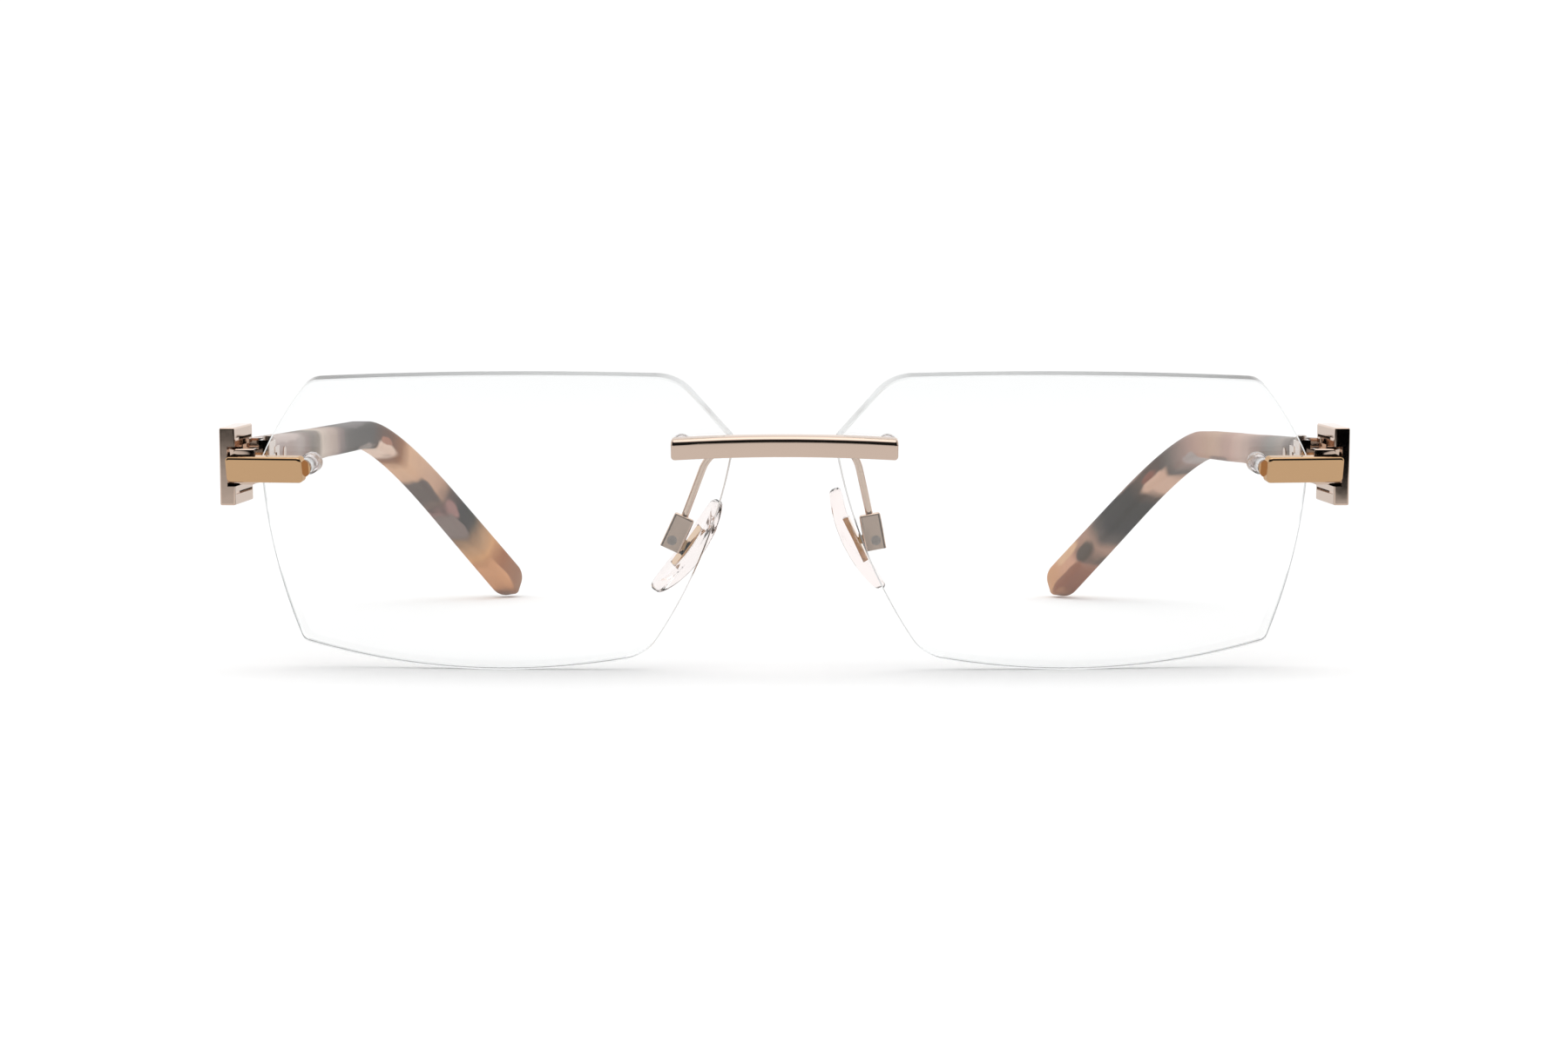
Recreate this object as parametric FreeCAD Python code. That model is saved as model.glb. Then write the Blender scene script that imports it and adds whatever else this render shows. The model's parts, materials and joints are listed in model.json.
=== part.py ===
"""Rimless eyeglasses: two drilled lenses, a straight bridge bar, slotted side plates and folding temples.

Frame: +X towards the wearer's left, +Y towards the face, +Z up, millimetres. The glasses stand open on the
lower edges of the lenses and the tips of the temples. The origin is the middle of the underside of their box.
Every piece is built for the wearer's left side, and the right side is its mirror image. The two nose pads and
the two temples are set a little differently, as they are after fitting.
"""
import FreeCAD, Part
import math
import os

Vector = FreeCAD.Vector
Rotation = FreeCAD.Rotation
Placement = FreeCAD.Placement

X_AXIS = Vector(1, 0, 0)
Y_AXIS = Vector(0, 1, 0)
Z_AXIS = Vector(0, 0, 1)
ORIGIN = Vector(0, 0, 0)

# ---- Lenses: a six-sided outline cut from a spherical shell
LENS_WIDTH = 58.45              # nasal corner to temporal corner
LENS_HEIGHT = 35.4              # lower nasal corner to upper nasal corner
LENS_GAP = 12.7                 # between the two nasal corners
LENS_THICKNESS = 2.2
LENS_FRONT_RADIUS = 130.0
LENS_WRAP = 5.0                 # degrees, the temporal side swept back
LENS_LEAN = 13.5                # degrees, the top tipped forward
OPTICAL_RISE = 0.9              # optical centre above the middle of the height
UPPER_NASAL_INSET = 6.8
UPPER_TEMPORAL_INSET = 6.4
LOWER_NASAL_INSET = 11.0
LOWER_TEMPORAL_INSET = 4.5
UPPER_TEMPORAL_DROP = 1.3       # below the upper nasal corner
NASAL_SHOULDER = 7.9            # below the upper nasal corner
TEMPORAL_SHOULDER = 10.4        # below the upper temporal corner
LOWER_TEMPORAL_RISE = 0.45      # above the lower nasal corner
TOP_BULGE = 0.92
TEMPORAL_DIAGONAL_BULGE = 0.42
TEMPORAL_BULGE = 0.9
BOTTOM_BULGE = 2.25
NASAL_BULGE = 1.7
UPPER_TEMPORAL_ROUND = 3.0
UPPER_NASAL_ROUND = 6.0
NASAL_ROUND = 1.8
LOWER_NASAL_ROUND = 6.0
LOWER_TEMPORAL_ROUND = 1.2
TEMPORAL_ROUND = 3.0
LENS_EDGE_BEVEL = 0.18

# ---- Bridge bar across the front of the lenses
BRIDGE_END_MARGIN = 1.16        # bar beyond each lens pin
BRIDGE_HEIGHT = 2.54
BRIDGE_THICKNESS = 1.7
BRIDGE_ARCH_RADIUS = 230.0
BRIDGE_LEAN = 10.0
BRIDGE_TOP_ROUND = 0.8
BRIDGE_CORNER_ROUND = 0.45
BRIDGE_EDGE_ROUND = 0.25
BRIDGE_LENS_GAP = 0.15
BRIDGE_PIN_INSET = 6.35         # from the nasal corner of the lens, across it
BRIDGE_PIN_BELOW_SHOULDER = 0.54
BRIDGE_PIN_RADIUS = 0.5
BRIDGE_SLEEVE_WALL = 0.25
BRIDGE_CAP_RADIUS = 1.15
BRIDGE_CAP_LENGTH = 1.3

# ---- Nose pads and what carries them
PAD_LENGTH = 13.6
PAD_WIDTH = 6.4
PAD_THICKNESS = 1.9
PAD_NOSE_RADIUS = 18.0
PAD_OUTER_RADIUS = 24.0
PAD_EDGE_ROUND = 0.55
INSERT_LENGTH = 5.8
INSERT_WIDTH = 2.6
INSERT_THICKNESS = 0.5
LUG_THICKNESS = 1.2
LUG_RADIUS = 0.65
BOX_WALL = 0.35
BOX_HEIGHT = 4.5
BOX_WIDTH = 2.6
BOX_LUG_GAP = 0.1
BOX_SCREW_FROM_FOOT = 1.15
BOX_EDGE_ROUND = 0.3
BOX_FAR = LUG_RADIUS + BOX_LUG_GAP + BOX_WALL      # outer side of the box, from the screw
PAD_SCREW_RADIUS = 0.4
PAD_SCREW_HEAD_RADIUS = 0.6
PAD_SCREW_HEAD_DEPTH = 0.15
SCREW_RUNNING_GAP = 0.05
ARM_ROOT_INSET = 0.25           # from the nasal corner of the lens, across it
ARM_RADIUS = 0.45
ARM_NOTCH_GAP = 0.1
ARM_BACK_REACH = 5.2
ARM_ROOT_BEND = 1.6
ARM_DROP_BEND = 4.2
PAD_SCREW_DEPTH = 8.0           # behind the front of the lenses
PAD_BODY_DEPTH = 8.6

# ---- End piece: front bar, slotted side plate, block and hinge
END_PIN_INSET = 5.75            # from the temporal corner of the lens, across it
END_PIN_ABOVE_SHOULDER = -0.35
END_BAR_LENGTH = 10.05
END_BAR_HEIGHT = 3.22
END_BAR_THICKNESS = 1.35
END_BAR_STANDOFF = 0.85
END_BAR_OVERHANG = 0.45         # from the pin to the inner end
END_BAR_CORNER_ROUND = 0.55
END_BAR_EDGE_ROUND = 0.38
END_BOSS_RADIUS = 1.15
END_BOSS_TIP_RADIUS = 0.95
END_PIN_RADIUS = 0.6
END_SLEEVE_WALL = 0.35
END_CAP_RADIUS = 1.25
END_CAP_LENGTH = 1.9
END_PEG_RADIUS = 0.5
SIDE_PLATE_LENGTH = 8.2
SIDE_PLATE_HEIGHT = 9.55
SIDE_PLATE_THICKNESS = 1.9
SIDE_PLATE_FLARE = 3.0          # degrees, the inner face turned further inward
SIDE_PLATE_TURN = 4.5           # degrees, the rear end inward
SIDE_PLATE_TILT = 2.6           # degrees, the rear end up
SIDE_PLATE_OVERHANG = 0.92      # outside the end of the front bar
SIDE_PLATE_RISE = 0.25          # its middle above the middle of the front bar
SIDE_PLATE_EDGE_ROUND = 0.22
RECESS_DEPTH = 0.95
RECESS_HEIGHT = 4.9
SLOT_SPACING = 6.6
SLOT_HEIGHT = 0.35
SLOT_LENGTH = 7.2
SLOT_DEPTH = 0.4
BLOCK_HEIGHT = 4.4
BLOCK_EDGE_ROUND = 0.25
HINGE_SETBACK = 9.18            # hinge axis behind the outer end of the front bar
HINGE_INSET = 3.96              # hinge axis inside the outer end of the front bar
HINGE_RISE = 1.41               # hinge middle above the middle of the front bar
BARREL_RADIUS = 1.1
HINGE_HEIGHT = 4.0
KNUCKLES = 5
KNUCKLE_GAP = 0.05
HINGE_PIN_RADIUS = 0.45
HINGE_HEAD_RADIUS = 0.85
HINGE_HEAD_HEIGHT = 0.45
DRIVER_SLOT_WIDTH = 0.22
LEAF_THICKNESS = 0.8
FRONT_LEAF_LENGTH = 4.2
REAR_LEAF_LENGTH = 4.4
BUTT_GAP = 0.15

# ---- Temples
TEMPLE_THICKNESS = 3.9
TEMPLE_FRONT_HEIGHT = 4.1
TEMPLE_MIDDLE_HEIGHT = 3.85
TEMPLE_TIP_HEIGHT = 4.7
TEMPLE_TIP_THICKNESS = 3.9
TEMPLE_CORNER_ROUND = 0.9
TEMPLE_CAP_LENGTH = 1.3
TEMPLE_STRAIGHT = 73.8          # behind the hinge, to the start of the bend
TEMPLE_BEND_RADIUS = 37.2
TEMPLE_END_RUN = 22.5
TEMPLE_IN = 3.65                # degrees inward, hinge to bend
TEMPLE_END_IN = 37.0            # degrees inward, after the bend
BEND_STATIONS = 14              # sections along the bend
TIP_ROUND = 3.2
CORE_RADIUS = 0.7
RIVET_SETBACK = 10.0            # behind the hinge
RIVET_HEAD_RADIUS = 0.8
RIVET_HEAD_HEIGHT = 0.12
RIVET_STEM_RADIUS = 0.45

# How each nose pad is set: x is across from the middle, z is from the optical centre of the lens
PAD_SETTINGS = {
    "left": {"arm_bend": (9.05, 6.5), "box_lean": 10.5, "screw": (11.35, -3.4),
             "pad": (8.15, -3.85), "pad_lean": 25.9, "pad_splay": 4.0},
    "right": {"arm_bend": (9.85, 6.3), "box_lean": 25.0, "screw": (13.95, -3.4),
              "pad": (11.35, -4.7), "pad_lean": 36.1, "pad_splay": 14.0},
}

# How each temple is bent, in degrees downward: from the hinge to the bend, and after it
TEMPLE_SETTINGS = {
    "left": {"down": 0.87, "end_down": 37.9},
    "right": {"down": -0.23, "end_down": 40.0},
}


def carried(shape, placement):
    """A copy of the shape, moved by a placement."""
    result = shape.copy()
    result.transformShape(placement.toMatrix(), True)
    return result


def block(x_range, y_range, z_range):
    """A box between two values on each axis."""
    corner = Vector(x_range[0], y_range[0], z_range[0])
    sizes = [high - low for low, high in (x_range, y_range, z_range)]
    return Part.makeBox(sizes[0], sizes[1], sizes[2], corner)


def rod(radius, start, end):
    """A round bar between two points."""
    return Part.makeCylinder(radius, start.distanceToPoint(end), start, end - start)


def rounded(shape, radius, wanted):
    """The shape with a fillet on each edge that the test picks out."""
    edges = [edge for edge in shape.Edges if wanted(edge)]
    return shape.makeFillet(radius, edges)


def centre_of(edge):
    return edge.BoundBox.Center


def runs_along(edge, axis):
    """True for a straight edge parallel to the axis."""
    if not isinstance(edge.Curve, (Part.Line, Part.LineSegment)):
        return False
    return abs(edge.tangentAt(edge.FirstParameter).dot(axis)) > 0.999


def one_solid(shape):
    """The single solid that a boolean left, out of its compound."""
    solids = sorted(shape.Solids, key=lambda solid: solid.Volume)
    return solids[-1]


def bulged_edge(start, end, bulge):
    """An edge of an outline in the XZ plane: straight, or an arc that bulges to the left of its run."""
    if bulge == 0:
        return Part.LineSegment(start, end).toShape()
    run = end - start
    outward = Vector(-run.z, 0, run.x).normalize()
    middle = (start + end) * 0.5 + outward * bulge
    return Part.Arc(start, middle, end).toShape()


# ---------------------------------------------------------------- lenses

def lens_corners():
    """Sharp corners of the left lens, clockwise from the upper nasal one, with each corner's fillet
    and the bulge of the side after it. X is outward and Z is up, from the optical centre."""
    nasal = -LENS_WIDTH / 2
    temporal = LENS_WIDTH / 2
    foot = -LENS_HEIGHT / 2 - OPTICAL_RISE
    top = foot + LENS_HEIGHT
    temporal_top = top - UPPER_TEMPORAL_DROP
    return [
        (nasal + UPPER_NASAL_INSET, top, UPPER_NASAL_ROUND, TOP_BULGE),
        (temporal - UPPER_TEMPORAL_INSET, temporal_top, UPPER_TEMPORAL_ROUND, TEMPORAL_DIAGONAL_BULGE),
        (temporal, temporal_top - TEMPORAL_SHOULDER, TEMPORAL_ROUND, TEMPORAL_BULGE),
        (temporal - LOWER_TEMPORAL_INSET, foot + LOWER_TEMPORAL_RISE, LOWER_TEMPORAL_ROUND, BOTTOM_BULGE),
        (nasal + LOWER_NASAL_INSET, foot, LOWER_NASAL_ROUND, NASAL_BULGE),
        (nasal, top - NASAL_SHOULDER, NASAL_ROUND, 0),
    ]


LENS_CENTRE_X = (LENS_GAP + LENS_WIDTH) / 2
LENS_PLACEMENT = Placement(
    Vector(LENS_CENTRE_X, 0, 0), Rotation(X_AXIS, LENS_LEAN).multiply(Rotation(Z_AXIS, LENS_WRAP))
)
NASAL_SHOULDER_Z = lens_corners()[-1][1]
TEMPORAL_SHOULDER_Z = lens_corners()[2][1]


def lens_front(across, up):
    """Where a point of the lens plane meets the front surface, and the backward normal there."""
    sag = LENS_FRONT_RADIUS - math.sqrt(LENS_FRONT_RADIUS ** 2 - across ** 2 - up ** 2)
    normal = Vector(-across, LENS_FRONT_RADIUS - sag, -up)
    point = LENS_PLACEMENT.multVec(Vector(across, sag, up))
    return point, LENS_PLACEMENT.Rotation.multVec(normal).normalize()


def lens_blank():
    """The lens with its edge finished and no holes."""
    corners = lens_corners()
    points = [Vector(x, 0, z) for x, z, _, _ in corners]
    edges = [
        bulged_edge(points[i], points[(i + 1) % len(points)], corners[i][3]) for i in range(len(points))
    ]
    sweep = LENS_THICKNESS + 15.0
    prism = Part.Face(Part.Wire(edges)).extrude(Vector(0, sweep, 0))
    prism.translate(Vector(0, -1, 0))
    for point, corner in zip(points, corners):
        prism = rounded(
            prism, corner[2],
            lambda edge: runs_along(edge, Y_AXIS) and (centre_of(edge) - point).cross(Y_AXIS).Length < 0.01,
        )
    middle = Vector(0, LENS_FRONT_RADIUS, 0)
    shell = Part.makeSphere(LENS_FRONT_RADIUS, middle).cut(
        Part.makeSphere(LENS_FRONT_RADIUS - LENS_THICKNESS, middle)
    )
    blank = one_solid(prism.common(shell))
    rims = [edge for edge in blank.Edges if not runs_through(edge, middle)]
    return carried(blank.makeChamfer(LENS_EDGE_BEVEL, rims), LENS_PLACEMENT)


def runs_through(edge, middle):
    """True for an edge that crosses the lens from front to back."""
    radii = [vertex.Point.distanceToPoint(middle) for vertex in edge.Vertexes]
    return max(radii) - min(radii) > LENS_THICKNESS / 2


# ---------------------------------------------------------------- bridge

BRIDGE_PIN_POINT = lens_front(
    -LENS_WIDTH / 2 + BRIDGE_PIN_INSET, NASAL_SHOULDER_Z - BRIDGE_PIN_BELOW_SHOULDER
)[0]
BRIDGE_PIN_X = BRIDGE_PIN_POINT.x
BRIDGE_HALF_LENGTH = BRIDGE_PIN_X + BRIDGE_END_MARGIN
ARM_ROOT_X = LENS_GAP / 2 + ARM_ROOT_INSET
BRIDGE_PLACEMENT = Placement(
    Vector(0, BRIDGE_PIN_POINT.y, BRIDGE_PIN_POINT.z), Rotation(X_AXIS, BRIDGE_LEAN)
)


def bridge_rise(x):
    """Height of the bar's arched middle line above its height at the lens pins."""
    at_pin = math.sqrt(BRIDGE_ARCH_RADIUS ** 2 - BRIDGE_PIN_X ** 2)
    return math.sqrt(BRIDGE_ARCH_RADIUS ** 2 - x ** 2) - at_pin


def bridge_bar():
    """Arched bar with a round top front edge."""
    half = BRIDGE_HALF_LENGTH
    upper = BRIDGE_HEIGHT / 2
    ends = [
        Vector(x, 0, bridge_rise(x) + side * upper)
        for side, x in ((1, -half), (1, half), (-1, half), (-1, -half))
    ]
    crown = Vector(0, 0, bridge_rise(0) + upper)
    waist = Vector(0, 0, bridge_rise(0) - upper)
    edges = [
        Part.Arc(ends[0], crown, ends[1]).toShape(),
        Part.LineSegment(ends[1], ends[2]).toShape(),
        Part.Arc(ends[2], waist, ends[3]).toShape(),
        Part.LineSegment(ends[3], ends[0]).toShape(),
    ]
    bar = Part.Face(Part.Wire(edges)).extrude(Vector(0, BRIDGE_THICKNESS, 0))
    bar.translate(Vector(0, -BRIDGE_THICKNESS - BRIDGE_LENS_GAP, 0))
    front = -BRIDGE_THICKNESS - BRIDGE_LENS_GAP
    bar = rounded(
        bar, BRIDGE_TOP_ROUND,
        lambda edge: abs(centre_of(edge).y - front) < 0.01 and centre_of(edge).z > 0 and edge.Length > half,
    )
    bar = rounded(
        bar, BRIDGE_EDGE_ROUND,
        lambda edge: abs(centre_of(edge).y - front) < 0.01 and centre_of(edge).z < 0 and edge.Length > half,
    )
    bar = rounded(bar, BRIDGE_CORNER_ROUND, lambda edge: abs(centre_of(edge).x) > half - 0.01)
    return carried(bar, BRIDGE_PLACEMENT)


def bridge_pin():
    """Stud from the back of the bar through the lens."""
    start = Vector(BRIDGE_PIN_X, -BRIDGE_LENS_GAP, 0)
    end = Vector(BRIDGE_PIN_X, LENS_THICKNESS + BRIDGE_CAP_LENGTH * 0.7, 0)
    return carried(rod(BRIDGE_PIN_RADIUS, start, end), BRIDGE_PLACEMENT)


def sleeve_blank(body_radius, cap_radius, cap_length):
    """A sleeve that fills the lens hole and ends behind it in a domed cap, along +Y from the lens front."""
    body = rod(body_radius, ORIGIN, Vector(0, LENS_THICKNESS, 0))
    reach = LENS_THICKNESS + cap_length
    cap = rod(cap_radius, Vector(0, LENS_THICKNESS / 2, 0), Vector(0, reach, 0))
    cap = rounded(cap, cap_radius * 0.45, lambda edge: abs(centre_of(edge).y - reach) < 0.01)
    return body, cap


def bridge_hole():
    """The drilling for the bridge sleeve."""
    radius = BRIDGE_PIN_RADIUS + BRIDGE_SLEEVE_WALL
    start = Vector(BRIDGE_PIN_X, -LENS_THICKNESS, 0)
    end = Vector(BRIDGE_PIN_X, 2 * LENS_THICKNESS, 0)
    return carried(rod(radius, start, end), BRIDGE_PLACEMENT)


def fitted_sleeve(lens, pin, placement, body_radius, cap_radius, cap_length):
    """The sleeve cut to the drilled lens and to its pin."""
    body, cap = sleeve_blank(body_radius, cap_radius, cap_length)
    body = carried(body, placement)
    cap = carried(cap, placement)
    whole = cap.cut(lens).fuse(body)
    behind = one_solid(whole.removeSplitter().cut(lens))
    return one_solid(behind.cut(pin))


# ---------------------------------------------------------------- nose pads

def pad_point(across, depth, up):
    """A point given across, behind the lens fronts and above the optical centre."""
    return Vector(across, depth, up)


def bent_rod(points, bends, radius):
    """A wire of round section along straight runs joined by tangent arcs."""
    edges = []
    start = points[0]
    for i, bend in enumerate(bends, 1):
        into = (points[i] - points[i - 1]).normalize()
        out = (points[i + 1] - points[i]).normalize()
        half_turn = into.getAngle(out) / 2
        reach = bend * math.tan(half_turn)
        first = points[i] - into * reach
        last = points[i] + out * reach
        inward = (out - into).normalize()
        middle = points[i] + inward * (bend / math.cos(half_turn) - bend)
        edges.append(Part.LineSegment(start, first).toShape())
        edges.append(Part.Arc(first, middle, last).toShape())
        start = last
    edges.append(Part.LineSegment(start, points[-1]).toShape())
    section = Part.Wire(Part.makeCircle(radius, points[0], points[1] - points[0]))
    return one_solid(Part.Wire(edges).makePipeShell([section], True, False))


def arm_root():
    """Where the pad arm leaves the back of the bridge bar."""
    return BRIDGE_PLACEMENT.multVec(Vector(ARM_ROOT_X, -BRIDGE_LENS_GAP, bridge_rise(ARM_ROOT_X)))


def pad_arm(setting):
    """The wire from the bar, back past the lens edge, then out and down into the top of the pad box."""
    root = arm_root()
    back = BRIDGE_PLACEMENT.multVec(Vector(ARM_ROOT_X, ARM_BACK_REACH, bridge_rise(ARM_ROOT_X)))
    bend_x, bend_z = setting["arm_bend"]
    socket = Vector(BOX_FAR - BOX_WIDTH / 2, 0, BOX_HEIGHT - BOX_SCREW_FROM_FOOT - BOX_WALL)
    points = [root, back, pad_point(bend_x, PAD_SCREW_DEPTH - 2.0, bend_z),
              box_placement(setting).multVec(socket)]
    return bent_rod(points, [ARM_ROOT_BEND, ARM_DROP_BEND], ARM_RADIUS)


def arm_notch():
    """The groove in the nasal edge of the lens that the pad arm passes through."""
    start = BRIDGE_PLACEMENT.multVec(Vector(ARM_ROOT_X, -LENS_THICKNESS, bridge_rise(ARM_ROOT_X)))
    end = BRIDGE_PLACEMENT.multVec(Vector(ARM_ROOT_X, 2 * LENS_THICKNESS, bridge_rise(ARM_ROOT_X)))
    return rod(ARM_RADIUS + ARM_NOTCH_GAP, start, end)


def box_placement(setting):
    """The pad box's frame: its origin is the pad screw's middle."""
    x, z = setting["screw"]
    return Placement(pad_point(x, PAD_SCREW_DEPTH, z), Rotation(Y_AXIS, -setting["box_lean"]))


def pad_box(setting):
    """A channel, open below and towards the nose, closed on top where the arm is brazed in."""
    half_depth = LUG_THICKNESS / 2 + BOX_LUG_GAP + BOX_WALL
    foot = -BOX_SCREW_FROM_FOOT
    outer = block((BOX_FAR - BOX_WIDTH, BOX_FAR), (-half_depth, half_depth), (foot, foot + BOX_HEIGHT))
    outer = rounded(outer, BOX_EDGE_ROUND, lambda edge: centre_of(edge).z > foot + 0.01)
    half_gap = half_depth - BOX_WALL
    inside = block(
        (-BOX_WIDTH, BOX_FAR - BOX_WALL), (-half_gap, half_gap),
        (foot - 1, foot + BOX_HEIGHT - 2 * BOX_WALL),
    )
    reach = Vector(0, 2 * half_depth, 0)
    screw_hole = rod(PAD_SCREW_RADIUS, -reach, reach)
    head_hole = rod(PAD_SCREW_HEAD_RADIUS, -reach, Vector(0, PAD_SCREW_HEAD_DEPTH - half_depth, 0))
    box = outer.cut(inside).cut(screw_hole).cut(head_hole)
    return one_solid(carried(one_solid(box), box_placement(setting)).cut(pad_arm(setting)))


def pad_screw(setting):
    """A small slotted screw from the front of the box, through the pad's lug, into the back."""
    half_depth = LUG_THICKNESS / 2 + BOX_LUG_GAP + BOX_WALL
    front = Vector(0, -half_depth, 0)
    seat = Vector(0, PAD_SCREW_HEAD_DEPTH - half_depth, 0)
    screw = rod(PAD_SCREW_HEAD_RADIUS, front, seat).fuse(
        rod(PAD_SCREW_RADIUS, seat, Vector(0, half_depth, 0))
    )
    slot = block(
        (-PAD_SCREW_HEAD_RADIUS, PAD_SCREW_HEAD_RADIUS),
        (-half_depth - 1, -half_depth + PAD_SCREW_HEAD_DEPTH / 2),
        (-DRIVER_SLOT_WIDTH / 2, DRIVER_SLOT_WIDTH / 2),
    )
    return carried(one_solid(screw.removeSplitter().cut(slot)), box_placement(setting))


def pad_placement(setting):
    """The pad's frame: the nose side faces -X before it leans and splays."""
    x, z = setting["pad"]
    lean = Rotation(Y_AXIS, -setting["pad_lean"])
    splay = Rotation(Z_AXIS, -setting["pad_splay"])
    return Placement(pad_point(x, PAD_BODY_DEPTH, z), lean.multiply(splay))


def insert_plate():
    """The stiff plate moulded into the outer face of the pad, in the pad's frame."""
    sag = INSERT_LENGTH ** 2 / 8 / PAD_OUTER_RADIUS
    face = PAD_THICKNESS / 2 + sag
    return block(
        (face - sag - INSERT_THICKNESS, face), (-INSERT_WIDTH / 2, INSERT_WIDTH / 2),
        (-INSERT_LENGTH / 2, INSERT_LENGTH / 2),
    )


def pad(setting, insert):
    """A clear oval pad, rounded towards the nose and hollow behind, with the insert's seat cut in it."""
    outline = Part.Ellipse(ORIGIN, PAD_LENGTH / 2, PAD_WIDTH / 2)
    face = Part.Face(Part.Wire(outline.toShape()))
    face = carried(face, Placement(ORIGIN, Rotation(Y_AXIS, -90)))
    prism = face.extrude(Vector(8, 0, 0))
    prism.translate(Vector(-4, 0, 0))
    nose = Part.makeSphere(PAD_NOSE_RADIUS, Vector(PAD_NOSE_RADIUS - PAD_THICKNESS / 2, 0, 0))
    back = Part.makeSphere(PAD_OUTER_RADIUS, Vector(PAD_OUTER_RADIUS + PAD_THICKNESS / 2, 0, 0))
    shape = one_solid(prism.common(nose).cut(back))
    shape = rounded(shape, PAD_EDGE_ROUND, lambda edge: edge.Length > PAD_LENGTH)
    return one_solid(carried(shape, pad_placement(setting)).cut(insert))


def pad_insert(setting):
    """The insert plate with its lug, which turns on the pad screw."""
    plate = carried(insert_plate(), pad_placement(setting))
    screw = box_placement(setting).Base
    half = LUG_THICKNESS / 2
    knuckle = rod(LUG_RADIUS, screw - Y_AXIS * half, screw + Y_AXIS * half)
    toward = pad_placement(setting).multVec(Vector(PAD_THICKNESS / 2, 0, 0)) - screw
    toward.y = 0
    angle = math.degrees(math.atan2(toward.x, toward.z))
    web_length = toward.Length - INSERT_THICKNESS / 3
    web = block((-LUG_RADIUS, LUG_RADIUS), (-half, half), (0, web_length))
    web = carried(web, Placement(screw, Rotation(Y_AXIS, angle)))
    bore = rod(PAD_SCREW_RADIUS + SCREW_RUNNING_GAP, screw - Y_AXIS * 3, screw + Y_AXIS * 3)
    return one_solid(plate.fuse(knuckle).fuse(web).removeSplitter().cut(bore))


# ---------------------------------------------------------------- end piece

END_PIN_ACROSS = LENS_WIDTH / 2 - END_PIN_INSET


def surface_frame(across, up):
    """A frame on the lens front: Y runs back along the normal and X runs outward."""
    point, normal = lens_front(across, up)
    outward = Vector(normal.y, -normal.x, 0)
    return Placement(point, Rotation(outward, normal, ORIGIN, "YXZ"))


END_PLACEMENT = surface_frame(END_PIN_ACROSS, TEMPORAL_SHOULDER_Z + END_PIN_ABOVE_SHOULDER)
END_BAR_OUTER = END_BAR_LENGTH - END_BAR_OVERHANG
END_BAR_MIDDLE_DEPTH = -END_BAR_STANDOFF - END_BAR_THICKNESS / 2
END_BAR_TIP = END_PLACEMENT.multVec(Vector(END_BAR_OUTER, END_BAR_MIDDLE_DEPTH, 0))
SIDE_PLACEMENT = Placement(
    Vector(END_BAR_TIP.x + SIDE_PLATE_OVERHANG, END_BAR_TIP.y, END_BAR_TIP.z + SIDE_PLATE_RISE),
    Rotation(Z_AXIS, SIDE_PLATE_TURN).multiply(Rotation(X_AXIS, SIDE_PLATE_TILT)),
)
HINGE_X = END_BAR_TIP.x - HINGE_INSET
HINGE_Y = END_BAR_TIP.y + HINGE_SETBACK
HINGE_Z = END_BAR_TIP.z + HINGE_RISE
HINGE_POINT = Vector(HINGE_X, HINGE_Y, HINGE_Z)


def end_bar():
    """The polished bar in front of the lens, with the tapered boss and pin that hold the lens
    and the peg that stops it turning."""
    back = -END_BAR_STANDOFF
    front = back - END_BAR_THICKNESS
    half = END_BAR_HEIGHT / 2
    bar = block((-END_BAR_OVERHANG, END_BAR_OUTER), (front, back), (-half, half))
    bar = rounded(bar, END_BAR_CORNER_ROUND, lambda edge: runs_along(edge, Y_AXIS))
    bar = rounded(bar, END_BAR_EDGE_ROUND, lambda edge: abs(centre_of(edge).y - front) < 0.01)
    taper = Part.makeCone(END_BOSS_RADIUS, END_BOSS_TIP_RADIUS, END_BAR_STANDOFF, Vector(0, back, 0), Y_AXIS)
    pin = rod(END_PIN_RADIUS, Vector(0, back, 0), Vector(0, LENS_THICKNESS + END_CAP_LENGTH * 0.75, 0))
    peg_x = peg_position()
    peg = rod(END_PEG_RADIUS, Vector(peg_x, back, 0), Vector(peg_x, LENS_THICKNESS + 0.6, 0))
    keep = block((-END_BAR_OVERHANG - 2, END_BAR_OUTER), (front, 9), (-half, half))
    return carried(one_solid(bar.fuse([taper, pin, peg]).removeSplitter().common(keep)), END_PLACEMENT)


def peg_position():
    """The peg stands in the temporal edge of the lens."""
    return END_PIN_INSET - END_PEG_RADIUS * 0.6


def end_cuts():
    """The hole for the sleeve and the notch for the peg."""
    ahead = Vector(0, -LENS_THICKNESS, 0)
    behind = Vector(0, 2 * LENS_THICKNESS, 0)
    aside = Vector(peg_position(), 0, 0)
    hole = rod(END_PIN_RADIUS + END_SLEEVE_WALL, ahead, behind)
    notch = rod(END_PEG_RADIUS, ahead + aside, behind + aside)
    return carried(hole.fuse(notch), END_PLACEMENT)


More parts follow.
